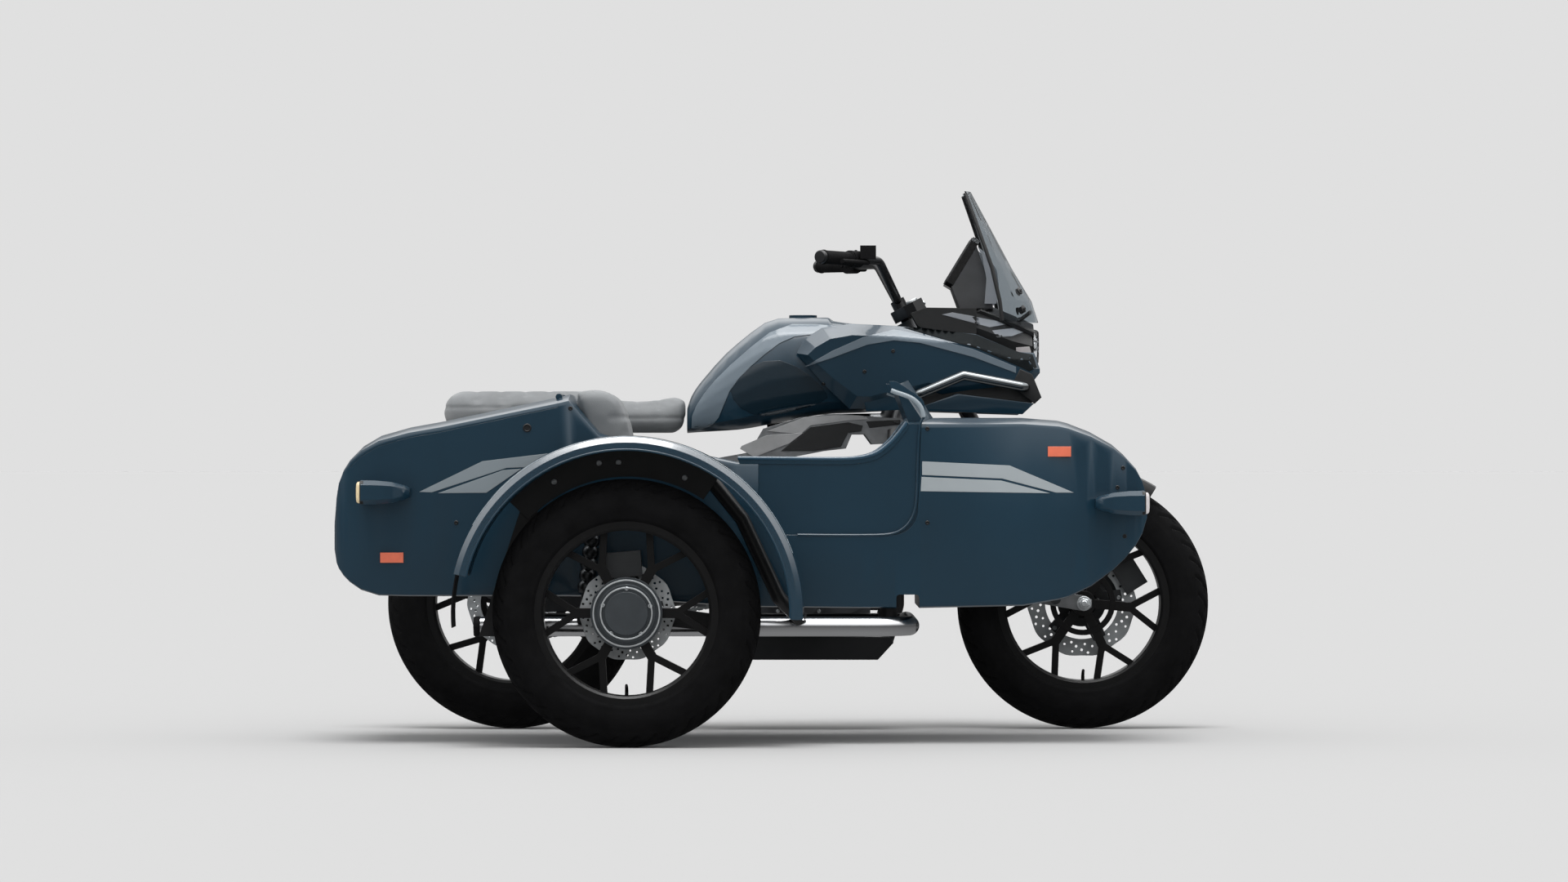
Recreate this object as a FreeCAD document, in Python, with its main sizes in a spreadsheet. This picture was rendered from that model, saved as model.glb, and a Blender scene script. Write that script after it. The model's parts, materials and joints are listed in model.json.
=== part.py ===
import FreeCAD, Part
import math
import os
import Sketcher

# A motorcycle with a one-seat sidecar on its right. X points forward, Y to the left, Z up.
# The origin is on the floor, under the centre of the whole outfit. Lengths are in millimetres.

os.makedirs("parts", exist_ok=True)
V = FreeCAD.Vector
doc = FreeCAD.newDocument("sidecar_motorcycle")

SIZES = {
    # Where the three wheels stand
    "wheel_radius": 325.0,
    "bike_centre_y": 400.0,
    "track_width": 1120.0,
    "front_axle_x": 777.0,
    "wheelbase": 1475.0,
    "sidecar_wheel_lead": 320.5,
    # Tyres and rims
    "tyre_half_width": 63.0,
    "tread_half_width": 36.0,
    "shoulder_drop": 16.0,
    "crown_drop": 3.0,
    "sidewall_height": 46.0,
    "bead_radius": 216.0,
    "bead_half_width": 44.0,
    "rim_half_width": 54.0,
    "rim_flange_height": 16.0,
    "rim_wall": 10.0,
    "rim_lip": 6.0,
    "hub_radius": 32.0,
    "hub_half_length": 40.0,
    "hub_ring_radius": 84.0,
    "hub_ring_width": 14.0,
    "hub_ring_depth": 24.0,
    "axle_radius": 10.0,
    "axle_clearance": 0.3,
    "spoke_count": 6.0,
    "spoke_depth": 22.0,
    "spoke_stem_half_width": 12.0,
    "spoke_branch_half_width": 8.5,
    "spoke_split_radius": 120.0,
    "spoke_root_angle": 15.0,
    "spoke_overlap": 5.0,
    "front_wheel_turn": 5.3,
    # Brake discs, sprocket and hub cap
    "disc_thickness": 5.0,
    "disc_offset": 58.0,
    "front_disc_radius": 142.0,
    "front_disc_width": 46.0,
    "side_disc_radius": 117.0,
    "side_disc_width": 34.0,
    "disc_hole_radius": 5.0,
    "disc_hole_count": 12.0,
    "sprocket_radius": 96.0,
    "sprocket_thickness": 8.0,
    "sprocket_offset": 74.0,
    "cap_radius": 87.0,
    "cap_step_radius": 70.0,
    "cap_disc_radius": 52.0,
    "cap_depth": 34.0,
    "cap_step": 8.0,
    # Sidecar body
    "tub_back_x": -1102.0,
    "tub_length": 1998.0,
    "tub_floor_z": 333.0,
    "tub_height": 524.0,
    "tub_wheel_gap": 170.0,
    "tub_bike_gap": 380.0,
    "tub_wall": 8.0,
    "rim_flange": 30.0,
    "entry_back_x": -452.0,
    "entry_front_x": 276.0,
    "entry_corner": 60.0,
    "lid_depth": 26.0,
    "lid_gap": 0.3,
    "trunk_ledge": 26.0,
    "recess_back_x": -60.0,
    "recess_front_x": 328.0,
    "recess_lean": 14.0,
    "recess_z": 512.0,
    "recess_corner": 62.0,
    "recess_depth": 4.0,
    "channel_back_x": 278.0,
    "channel_length": 56.0,
    "channel_height": 33.0,
    "hinge_radius": 8.0,
    "hinge_knuckle": 36.0,
    "hinge_place": 150.0,
    "coaming_height": 92.0,
    "coaming_base": 38.0,
    "coaming_tip": 8.0,
    "coaming_curve": 32.0,
    # Sidecar seat
    "cushion_margin": 50.0,
    "cushion_height": 135.0,
    "cushion_front_x": 60.0,
    "cushion_nose": 30.0,
    "backrest_margin": 65.0,
    "backrest_thickness": 76.0,
    "backrest_rise": 12.0,
    "backrest_lean": 87.5,
    "soft_gap": 1.0,
    # Sidecar fender
    "fender_radius": 430.0,
    "fender_half_width": 95.0,
    "fender_lip": 34.0,
    "fender_sheet": 4.0,
    "fender_front_angle": -2.0,
    "fender_back_angle": 167.0,
    "flap_start_angle": 158.0,
    "flap_end_angle": 184.6,
    "flap_drop": 4.2,
    "flap_sheet": 3.0,
    "flap_half_width": 80.0,
    "bracket_inner_radius": 330.0,
    "bracket_outer_radius": 418.0,
    "bracket_sheet": 5.0,
    "bracket_front_angle": 56.0,
    "bracket_back_angle": 137.0,
    "strut_flat_width": 44.0,
    "strut_flat_thickness": 8.0,
    "stay_radius": 18.0,
    # Sidecar frame
    "rail_radius": 24.0,
    "rail_z": 288.0,
    "rail_back_gap": 362.5,
    "rail_front_x": 312.0,
    "cross_radius": 20.0,
    "cross_inset": 50.0,
    "inner_rail_inset": 30.0,
    "strut_radius": 16.0,
    "mount_radius": 22.0,
    "arm_reach": 277.5,
    "arm_wheel_gap": 120.0,
    "arm_width": 26.0,
    "arm_height": 48.0,
    "pivot_radius": 20.0,
    "side_shock_radius": 20.0,
    # Lamps on the sidecar
    "pod_length": 118.0,
    "pod_height": 60.0,
    "pod_depth": 56.0,
    "lens_depth": 12.0,
    "rear_pod_x": -1030.0,
    "rear_pod_share": 0.54,
    "front_pod_x": 895.0,
    "front_pod_share": 0.4905,
    "reflector_length": 58.0,
    "reflector_height": 26.0,
    "reflector_depth": 6.0,
    # Steering
    "stem_x": 313.0,
    "stem_z": 1075.0,
    "rake": 27.0,
    "stem_radius": 16.0,
    "head_radius": 30.0,
    "head_length": 150.0,
    "clamp_thickness": 30.0,
    "clamp_gap": 6.0,
    "leg_spacing": 103.0,
    "leg_radius": 18.0,
    "leg_offset": 30.0,
    "leg_bend_drop": 620.0,
    "arm_hinge_x": 428.0,
    "arm_hinge_z": 384.0,
    "arm_plate": 14.0,
    "arm_half_height": 20.0,
    "fork_shock_radius": 22.0,
    # Handlebar
    "bar_radius": 11.0,
    "bar_half_width": 406.4,
    "bar_rise": 100.0,
    "bar_sweep": 195.0,
    "bar_bend": 50.0,
    "grip_radius": 16.5,
    "grip_length": 125.0,
    "lever_radius": 6.0,
    "reservoir_length": 50.0,
    "reservoir_height": 34.0,
    # Front mudguard
    "guard_radius": 356.0,
    "guard_half_width": 74.0,
    "guard_sheet": 3.0,
    "guard_front_angle": 58.0,
    "guard_back_angle": 163.0,
    "rear_guard_front_angle": 62.0,
    "rear_guard_back_angle": 150.0,
    # Engine
    "engine_half_width": 150.0,
    "engine_pivot_gap": 35.0,
    "engine_front_x": 225.0,
    "engine_bottom_z": 268.0,
    "engine_height": 210.0,
    "cylinder_half_width": 130.0,
    "cylinder_height": 150.0,
    "cylinder_length": 150.0,
    "cylinder_back_x": 70.0,
    "head_height": 85.0,
    "head_margin": 12.0,
    "sump_ribs": 5.0,
    "boss_radius": 8.0,
    "boss_count": 8.0,
    "filter_radius": 34.0,
    "filter_length": 22.0,
    "cover_radius": 82.0,
    "cover_depth": 32.0,
    "clutch_x": 40.0,
    "clutch_z": 360.0,
    "box_pivot_gap": 55.0,
    "box_front_x": 285.0,
    "box_bottom_z": 181.0,
    "box_height": 59.0,
    "box_half_width": 130.0,
    "box_bevel": 15.0,
    "pipe_spacing": 45.0,
    "pipe_radius": 20.0,
    "radiator_x": 336.0,
    "radiator_bottom_z": 520.0,
    "radiator_height": 280.0,
    "radiator_half_width": 140.0,
    "radiator_thickness": 34.0,
    "fin_depth": 5.0,
    "fin_count": 10.0,
    # Tank, shrouds and cowl
    "tank_back_x": -247.0,
    "tank_length": 475.0,
    "tank_bottom_z": 765.0,
    "tank_height": 298.0,
    "tank_half_width": 150.0,
    "filler_radius": 36.0,
    "cap_rise": 7.0,
    "shroud_inner_y": 152.0,
    "shroud_thickness": 34.0,
    "shroud_flat": 8.0,
    "shroud_back_x": 35.0,
    "shroud_length": 576.0,
    "shroud_bottom_z": 815.0,
    "shroud_height": 228.0,
    "cowl_back_x": 328.0,
    "cowl_length": 339.0,
    "cowl_bottom_z": 930.0,
    "cowl_height": 160.0,
    "cowl_half_width": 140.0,
    "screen_base_z": 1051.0,
    "screen_height": 337.0,
    "screen_base_x": 661.0,
    "screen_top_x": 487.0,
    "screen_half_width": 150.0,
    "screen_sheet": 4.0,
    "display_length": 139.0,
    "display_thickness": 22.0,
    "display_half_width": 80.0,
    "display_x": 466.0,
    "display_z": 1208.0,
    "display_lean": 58.0,
    "crash_bar_radius": 12.5,
    "crash_bar_y": 186.0,
    "mount_inset": 100.0,
    "moving_gap": 5.5,
    "arm_tail": 125.0,
    "eye_radius": 14.0,
    "coil_turns": 7.0,
    "side_shock_lean": 75.0,
    "side_shock_rise": 285.0,
    "bike_shock_low_gap": 50.0,
    "bike_shock_high_gap": 10.0,
    "bike_shock_high_z": 640.0,
    "bike_shock_radius": 28.0,
    "strut_flat_gap": 234.5,
    "strut_flat_top_z": 590.0,
    "stay_gap": 207.5,
    "stay_top_z": 640.0,
    "stay_run": 215.0,
    "strut_front_x": 250.0,
    "strut_low_z": 770.0,
    "strut_back_gap": 182.5,
    "strut_lean": 35.0,
    "strut_top_lean": 20.0,
    "strut_top_z": 660.0,
    "cowl_sheet": 12.0,
    "cowl_stay_z": 990.0,
    "cowl_stay_radius": 10.0,
    "headlamp_half_width": 70.0,
    "headlamp_height": 100.0,
    "reflector_back_x": -957.0,
    "reflector_back_share": 0.2347,
    "reflector_front_x": 677.0,
    "reflector_front_share": 0.7309,
    "caliper_angle": 95.0,
    "front_caliper_angle": 32.0,
    "bar_height": 38.0,
    "riser_spacing": 42.0,
    "leg_foot_run": 130.0,
    "leg_foot_rise": 56.0,
    "arm_hinge_half_height": 16.0,
    "fork_shock_low_x": 700.0,
    "fork_shock_low_z": 338.0,
    "fork_shock_high_x": 590.0,
    "fork_shock_high_z": 580.0,
    "guard_tab_x": 588.0,
    "guard_tab_z": 602.0,
    # Frame of the motorcycle
    "spar_inner_y": 128.0,
    "spar_thickness": 22.0,
    "spar_foot_half": 27.0,
    "neck_z": 800.0,
    "subframe_rise": 180.0,
    "head_start": 21.0,
    "backbone_bend_x": 265.0,
    "backbone_mid_x": 116.0,
    "backbone_end_x": -38.0,
    "backbone_z": 794.5,
    "backbone_drop": 28.0,
    "subframe_half_spacing": 90.0,
    "subframe_z": 752.5,
    "subframe_overhang": 182.0,
    "tail_light_height": 34.0,
    "caliper_width": 90.0,
    "caliper_height": 62.0,
    "caliper_half_depth": 16.0,
    "lug_half_width": 30.0,
    "lug_sheet": 8.0,
    "sprocket_pivot_gap": 62.0,
    "sprocket_front_z": 362.0,
    "sprocket_front_radius": 36.0,
    "chain_height": 12.0,
    "chain_width": 14.0,
    "link_count": 92.0,
    "peg_pivot_gap": 15.0,
    "peg_z": 400.0,
    "peg_radius": 11.0,
    "peg_length": 95.0,
    "spar_radius": 20.0,
    "subframe_radius": 12.0,
    "pivot_axle_gap": 473.0,
    "pivot_z": 345.0,
    "swing_half_spacing": 112.0,
    "swing_width": 28.0,
    "swing_height": 50.0,
    "seat_back_x": -878.0,
    "seat_length": 626.0,
    "seat_bottom_z": 765.0,
    "seat_height": 108.0,
    "seat_half_width": 128.0,
}

sheet = doc.addObject("Spreadsheet::Sheet", "Sizes")
for row, (word, number) in enumerate(SIZES.items(), start=1):
    sheet.set("A%d" % row, word)
    sheet.set("B%d" % row, str(number))
    sheet.setAlias("B%d" % row, word)
doc.recompute()


class Size:
    """A number worked out from the sheet, kept with the formula that gives it."""

    def __init__(self, value, formula):
        self.value = float(value)
        self.formula = formula

    def __float__(self):
        return self.value

    def __add__(self, other):
        return joined(self, other, "+")

    def __radd__(self, other):
        return joined(other, self, "+")

    def __sub__(self, other):
        return joined(self, other, "-")

    def __rsub__(self, other):
        return joined(other, self, "-")

    def __mul__(self, other):
        return joined(self, other, "*")

    def __rmul__(self, other):
        return joined(other, self, "*")

    def __truediv__(self, other):
        return joined(self, other, "/")

    def __neg__(self):
        return Size(-self.value, "(0 - " + self.formula + ")")


def as_size(number):
    if isinstance(number, Size):
        return number
    return Size(number, "(" + repr(float(number)) + ")")


def joined(left, right, sign):
    left = as_size(left)
    right = as_size(right)
    if sign == "+":
        value = left.value + right.value
    elif sign == "-":
        value = left.value - right.value
    elif sign == "*":
        value = left.value * right.value
    else:
        value = left.value / right.value
    return Size(value, "(" + left.formula + sign + right.formula + ")")


def cosine(angle):
    angle = as_size(angle)
    return Size(math.cos(math.radians(angle.value)), "cos(" + angle.formula + ")")


def sine(angle):
    angle = as_size(angle)
    return Size(math.sin(math.radians(angle.value)), "sin(" + angle.formula + ")")


class Sheet:
    """Gives each cell of the sheet as a Size, by its alias."""

    def __getattr__(self, word):
        return Size(SIZES[word], "Sizes." + word)


dim = Sheet()
nodes = {}


def between(low, high, share):
    return low + (high - low) * share


def bind(target, path, size):
    target.setExpression(path, as_size(size).formula)


def new_body(name, x=0, y=0, z=0, turn=None):
    """A body whose own origin stands at x, y, z, turned about Y by the angle turn."""
    body = doc.addObject("PartDesign::Body", name)
    angle = 0 if turn is None else float(turn)
    body.Placement = FreeCAD.Placement(V(float(x), float(y), float(z)), FreeCAD.Rotation(V(0, 1, 0), angle))
    bind(body, "Placement.Base.x", x)
    bind(body, "Placement.Base.y", y)
    bind(body, "Placement.Base.z", z)
    if turn is not None:
        bind(body, "Placement.Rotation.Angle", turn)
    return body


def keep(item, name):
    """Name the finished object after its node."""
    item.Label = name
    nodes[name] = item
    return item


def new_sketch(body, plane, offset=0):
    planes = {feature.Role: feature for feature in body.Origin.OriginFeatures}
    sketch = body.newObject("Sketcher::SketchObject", body.Name + "_sketch")
    sketch.AttachmentSupport = [(planes[plane], "")]
    sketch.MapMode = "FlatFace"
    sketch.AttachmentOffset = FreeCAD.Placement(V(0, 0, float(offset)), FreeCAD.Rotation())
    bind(sketch, "AttachmentOffset.Base.z", offset)
    return sketch


def hold_point(sketch, element, end, x, y):
    """Fix one point of a sketch at x, y from the sketch's origin."""
    index = sketch.addConstraint(Sketcher.Constraint("DistanceX", -1, 1, element, end, float(x)))
    bind(sketch, "Constraints[%d]" % index, x)
    index = sketch.addConstraint(Sketcher.Constraint("DistanceY", -1, 1, element, end, float(y)))
    bind(sketch, "Constraints[%d]" % index, y)


def draw_outline(sketch, corners):
    """Draw a closed outline. A corner is (x, y), or (x, y, radius) where it is rounded."""
    spots = [V(float(corner[0]), float(corner[1]), 0) for corner in corners]
    count = len(corners)
    arrive = []
    leave = []
    for index, corner in enumerate(corners):
        spot = spots[index]
        if len(corner) == 2:
            arrive.append(spot)
            leave.append(spot)
            continue
        back = (spots[index - 1] - spot).normalize()
        ahead = (spots[(index + 1) % count] - spot).normalize()
        reach = float(corner[2]) / math.tan(back.getAngle(ahead) / 2)
        arrive.append(spot + back * reach)
        leave.append(spot + ahead * reach)
    first_line = sketch.GeometryCount
    for index in range(count):
        sketch.addGeometry(Part.LineSegment(leave[index], arrive[(index + 1) % count]))
    for index, corner in enumerate(corners):
        before = first_line + (index - 1) % count
        after = first_line + index
        if len(corner) == 2:
            sketch.addConstraint(Sketcher.Constraint("Coincident", before, 2, after, 1))
            hold_point(sketch, after, 1, corner[0], corner[1])
            continue
        round_corner(sketch, before, after, spots[index], arrive[index], leave[index], corner)


def round_corner(sketch, before, after, spot, start, finish, corner):
    """Join two lines of an outline by a tangent arc inside the corner at spot."""
    radius = float(corner[2])
    toward = ((start + finish) * 0.5 - spot).normalize()
    half_turn = (start - spot).getAngle(finish - spot) / 2
    centre = spot + toward * (radius / math.sin(half_turn))
    first = math.atan2(start.y - centre.y, start.x - centre.x)
    last = math.atan2(finish.y - centre.y, finish.x - centre.x)
    anticlockwise = (spot - start).cross(finish - spot).z > 0
    if not anticlockwise:
        first, last = last, first
    arc = Part.ArcOfCircle(Part.Circle(centre, V(0, 0, 1), radius), first, last)
    arc_index = sketch.addGeometry(arc)
    point_index = sketch.addGeometry(Part.Point(spot), True)
    hold_point(sketch, point_index, 1, corner[0], corner[1])
    sketch.addConstraint(Sketcher.Constraint("PointOnObject", point_index, 1, before))
    sketch.addConstraint(Sketcher.Constraint("PointOnObject", point_index, 1, after))
    start_end = 1 if anticlockwise else 2
    finish_end = 2 if anticlockwise else 1
    sketch.addConstraint(Sketcher.Constraint("Tangent", before, 2, arc_index, start_end))
    sketch.addConstraint(Sketcher.Constraint("Tangent", after, 1, arc_index, finish_end))
    index = sketch.addConstraint(Sketcher.Constraint("Radius", arc_index, radius))
    bind(sketch, "Constraints[%d]" % index, corner[2])


def draw_circle(sketch, x, y, radius):
    index = sketch.addGeometry(Part.Circle(V(float(x), float(y), 0), V(0, 0, 1), float(radius)))
    hold_point(sketch, index, 3, x, y)
    held = sketch.addConstraint(Sketcher.Constraint("Radius", index, float(radius)))
    bind(sketch, "Constraints[%d]" % held, radius)


def add_pad(body, sketch, length, middle=True, reverse=False):
    pad = body.newObject("PartDesign::Pad", body.Name + "_pad")
    pad.Profile = sketch
    pad.Length = float(length)
    bind(pad, "Length", length)
    pad.Midplane = middle
    pad.Reversed = reverse
    body.Tip = pad
    return pad


def add_pocket(body, sketch, length, middle=True, reverse=False):
    pocket = body.newObject("PartDesign::Pocket", body.Name + "_pocket")
    pocket.Profile = sketch
    pocket.Length = float(length)
    bind(pocket, "Length", length)
    pocket.Midplane = middle
    pocket.Reversed = reverse
    body.Tip = pocket
    return pocket


def add_turn(body, sketch, angle=360, middle=False):
    """Revolve a sketch on the YZ plane about the body's own Y axis."""
    turned = body.newObject("PartDesign::Revolution", body.Name + "_revolution")
    turned.Profile = sketch
    turned.ReferenceAxis = (sketch, ["H_Axis"])
    turned.Angle = float(angle)
    if isinstance(angle, Size):
        bind(turned, "Angle", angle)
    turned.Midplane = middle
    body.Tip = turned
    return turned


def add_ring_of(body, feature, count):
    """Repeat a feature round the body's own Y axis."""
    axes = {item.Role: item for item in body.Origin.OriginFeatures}
    pattern = body.newObject("PartDesign::PolarPattern", body.Name + "_pattern")
    pattern.Originals = [feature]
    pattern.Axis = (axes["Y_Axis"], [""])
    pattern.Angle = 360
    pattern.Occurrences = int(float(count))
    bind(pattern, "Occurrences", count)
    body.Tip = pattern
    return pattern


def add_loft(body, plane, stations, kind="PartDesign::AdditiveLoft"):
    """Loft straight faces through outlines, each given as (offset, points)."""
    sketches = []
    for offset, points in stations:
        sketch = new_sketch(body, plane, offset)
        draw_outline(sketch, points)
        sketches.append(sketch)
    loft = body.newObject(kind, body.Name + "_loft")
    loft.Profile = sketches[0]
    loft.Sections = sketches[1:]
    loft.Ruled = True
    loft.Closed = False
    body.Tip = loft
    return loft


def smoothed(rows, steps):
    """Fill in a table by curves over its first column that never pass their own points."""
    columns = list(zip(*rows))
    places = columns[0]
    last = len(places) - 1
    slopes = []
    for column in columns:
        rises = [(column[i + 1] - column[i]) / (places[i + 1] - places[i]) for i in range(last)]
        middle = [2 * a * b / (a + b) if a * b > 0 else 0 for a, b in zip(rises, rises[1:])]
        slopes.append([rises[0]] + middle + [rises[-1]])
    filled = []
    for i in range(last):
        run = places[i + 1] - places[i]
        for step in range(steps):
            t = step / steps
            start = (1 + 2 * t) * (1 - t) ** 2
            leave = run * t * (1 - t) ** 2
            arrive = run * t ** 2 * (t - 1)
            filled.append(tuple(
                column[i] * start + slope[i] * leave + column[i + 1] * (1 - start) + slope[i + 1] * arrive
                for column, slope in zip(columns, slopes)))
    return filled + [tuple(rows[-1])]


def mirrored(points):
    """Close a half outline, given from the middle outwards and up, by its mirror image."""
    return points + [(-across, up) for across, up in reversed(points)]


def vector(x, y, z):
    return V(float(x), float(y), float(z))


def bent_tube(points, radius, bend=None, bore=None):
    """A round tube through points, with tangent arcs at its bends."""
    spots = [vector(*point) for point in points]
    edges = []
    start = spots[0]
    for index in range(1, len(spots) - 1):
        spot = spots[index]
        back = (spots[index - 1] - spot).normalize()
        ahead = (spots[index + 1] - spot).normalize()
        turn = back.getAngle(ahead)
        reach = float(bend) / math.tan(turn / 2)
        first = spot + back * reach
        last = spot + ahead * reach
        centre = spot + (back + ahead).normalize() * (float(bend) / math.sin(turn / 2))
        middle = centre + (spot - centre).normalize() * float(bend)
        edges.append(Part.LineSegment(start, first).toShape())
        edges.append(Part.Arc(first, middle, last).toShape())
        start = last
    edges.append(Part.LineSegment(start, spots[-1]).toShape())
    path = Part.Wire(edges)
    solid = swept_round(path, spots, radius)
    if bore is not None:
        solid = solid.cut(swept_round(path, spots, bore))
    return solid


def swept_round(path, spots, radius):
    circle = Part.Circle(spots[0], spots[1] - spots[0], float(radius)).toShape()
    return path.makePipeShell([Part.Wire([circle])], True, False)


def rod(start, finish, radius):
    start = vector(*start)
    finish = vector(*finish)
    return Part.makeCylinder(float(radius), (finish - start).Length, start, finish - start)


def block(x, y, z, length, width, height):
    """A box given by its lowest corner."""
    return Part.makeBox(float(length), float(width), float(height), vector(x, y, z))


def prism(points, y, depth):
    """A side outline in X and Z, given depth along Y from y."""
    spots = [vector(x, y, z) for x, z in points]
    face = Part.Face(Part.makePolygon(spots + [spots[0]]))
    return face.extrude(V(0, float(depth), 0))


def both_sides(solid):
    """The solid and its mirror image across the motorcycle's middle plane."""
    return [solid, solid.mirror(V(0, float(dim.bike_centre_y), 0), V(0, 1, 0))]


def fused(solids):
    whole = solids[0]
    for solid in solids[1:]:
        whole = whole.fuse(solid)
    return whole.removeSplitter()


def shape_node(name, solids):
    """A node set from finished solids that don't touch."""
    feature = doc.addObject("Part::Feature", name)
    feature.Shape = solids[0] if len(solids) == 1 else Part.makeCompound(solids)
    return keep(feature, name)


def compound_node(name, items):
    """A node made of finished objects that don't touch."""
    compound = doc.addObject("Part::Compound", name)
    compound.Links = items
    return keep(compound, name)


# Places that several pieces share
bike_y = dim.bike_centre_y
side_y = dim.bike_centre_y - dim.track_width
axle_z = dim.wheel_radius
front_x = dim.front_axle_x
rear_x = dim.front_axle_x - dim.wheelbase
side_x = dim.front_axle_x - dim.wheelbase + dim.sidecar_wheel_lead
outer_y = side_y + dim.tub_wheel_gap
tub_wide = bike_y - dim.tub_bike_gap - outer_y
tub_y = outer_y + tub_wide / 2
arm_y = side_y + dim.arm_wheel_gap
arm_pivot_x = side_x + dim.arm_reach
inner_y = outer_y + tub_wide - dim.inner_rail_inset
rail_back_x = side_x - dim.rail_back_gap
cross_back_x = rail_back_x + dim.cross_inset
pivot_x = rear_x + dim.pivot_axle_gap
peg_x = pivot_x + dim.peg_pivot_gap
bike_shock_low_x = pivot_x - dim.bike_shock_low_gap
bike_shock_high_x = pivot_x + dim.bike_shock_high_gap
engine_back_x = pivot_x + dim.engine_pivot_gap
engine_long = dim.engine_front_x - engine_back_x
box_back_x = pivot_x + dim.box_pivot_gap
sprocket_x = pivot_x + dim.sprocket_pivot_gap
subframe_back_x = rear_x - dim.subframe_overhang
gap = dim.lid_gap


# Wheels

def make_tyre(name, x, y):
    body = new_body(name, x, y, axle_z)
    sketch = new_sketch(body, "YZ_Plane")
    shoulder = dim.wheel_radius - dim.shoulder_drop
    middle = dim.bead_radius + dim.sidewall_height
    half = [
        (dim.bead_half_width, dim.bead_radius),
        (dim.bead_half_width, dim.bead_radius + dim.rim_flange_height),
        (dim.tyre_half_width, middle),
        (dim.tyre_half_width - dim.crown_drop, between(middle, shoulder, 0.6)),
        (between(dim.tread_half_width, dim.tyre_half_width, 0.6), shoulder),
        (dim.tread_half_width, dim.wheel_radius - dim.crown_drop),
        (dim.tread_half_width / 3, dim.wheel_radius),
    ]
    draw_outline(sketch, mirrored(half))
    add_turn(body, sketch)
    return keep(body, name)


def make_rim(name, x, y, turn):
    body = new_body(name, x, y, axle_z, turn)
    barrel = new_sketch(body, "YZ_Plane")
    flange = dim.bead_radius + dim.rim_flange_height
    inner = dim.bead_radius - dim.rim_wall
    half = [
        (dim.bead_half_width, dim.bead_radius),
        (dim.bead_half_width, flange),
        (dim.rim_half_width, flange),
        (dim.rim_half_width, inner),
        (dim.rim_half_width - dim.rim_lip, inner - dim.rim_lip),
    ]
    outline = half + [(-across, up) for across, up in reversed(half)]
    draw_outline(barrel, outline)
    add_turn(body, barrel)
    hub = new_sketch(body, "XZ_Plane")
    draw_circle(hub, 0, 0, dim.hub_radius)
    add_pad(body, hub, dim.hub_half_length * 2)
    ring = new_sketch(body, "XZ_Plane")
    draw_circle(ring, 0, 0, dim.hub_ring_radius)
    draw_circle(ring, 0, 0, dim.hub_ring_radius - dim.hub_ring_width)
    add_pad(body, ring, dim.hub_ring_depth)
    spoke = new_sketch(body, "XZ_Plane")
    draw_outline(spoke, spoke_outline(inner))
    first = add_pad(body, spoke, dim.spoke_depth)
    add_ring_of(body, first, dim.spoke_count)
    bore = new_sketch(body, "XZ_Plane")
    draw_circle(bore, 0, 0, dim.axle_radius + dim.axle_clearance)
    add_pocket(body, bore, dim.hub_half_length * 3)
    return keep(body, name)


def spoke_outline(rim_radius):
    """One Y-shaped spoke: a stem from the hub that splits into two branches at the rim."""
    root = rim_radius + dim.spoke_overlap
    along = cosine(dim.spoke_root_angle) * root - dim.spoke_split_radius
    across = sine(dim.spoke_root_angle) * root
    slope = Size(math.degrees(math.atan2(float(across), float(along))),
                 "atan2(" + across.formula + ";" + along.formula + ")")
    half = dim.spoke_branch_half_width
    step_along = sine(slope) * half
    step_across = cosine(slope) * half
    tip_along = dim.spoke_split_radius + along
    crotch = dim.spoke_split_radius + half / sine(slope)
    run_out = (dim.spoke_stem_half_width - step_across) / sine(slope) * cosine(slope)
    upper = [
        (dim.hub_radius - dim.spoke_overlap, dim.spoke_stem_half_width),
        (dim.spoke_split_radius - step_along + run_out, dim.spoke_stem_half_width),
        (tip_along - step_along, across + step_across),
        (tip_along + step_along, across - step_across),
    ]
    lower = [(along_x, -across_z) for along_x, across_z in reversed(upper)]
    return upper + [(crotch, 0)] + lower


def make_disc(name, x, y, offset, radius, width):
    """A brake disc with a ring of cooling holes, on a carrier that reaches the hub."""
    body = new_body(name, x, y + offset, axle_z)
    sketch = new_sketch(body, "XZ_Plane")
    draw_circle(sketch, 0, 0, radius)
    draw_circle(sketch, 0, 0, dim.axle_radius + dim.axle_clearance)
    add_pad(body, sketch, dim.disc_thickness)
    holes = new_sketch(body, "XZ_Plane")
    draw_circle(holes, radius - width / 3, 0, dim.disc_hole_radius)
    hole = add_pocket(body, holes, dim.disc_thickness * 2)
    add_ring_of(body, hole, dim.disc_hole_count)
    hub = new_sketch(body, "XZ_Plane")
    draw_circle(hub, 0, 0, dim.hub_radius)
    draw_circle(hub, 0, 0, dim.axle_radius + dim.axle_clearance)
    reach = dim.disc_offset - dim.disc_thickness / 2 - dim.hub_half_length
    add_pad(body, hub, reach + dim.disc_thickness / 2, False, float(offset) < 0)
    return keep(body, name)


front_tyre = make_tyre("front_tyre", front_x, bike_y)
rear_tyre = make_tyre("rear_tyre", rear_x, bike_y)
sidecar_tyre = make_tyre("sidecar_tyre", side_x, side_y)
front_rim = make_rim("front_rim", front_x, bike_y, dim.front_wheel_turn)
rear_rim = make_rim("rear_rim", rear_x, bike_y, dim.front_wheel_turn * 2)
sidecar_rim = make_rim("sidecar_rim", side_x, side_y, dim.front_wheel_turn - dim.front_wheel_turn)
front_disc = make_disc("front_disc", front_x, bike_y, dim.disc_offset, dim.front_disc_radius, dim.front_disc_width)
rear_disc = make_disc("brake_disc", rear_x, bike_y, -dim.disc_offset, dim.side_disc_radius, dim.side_disc_width)
sidecar_disc = make_disc("sidecar_disc", side_x, side_y, dim.disc_offset, dim.side_disc_radius, dim.side_disc_width)

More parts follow.
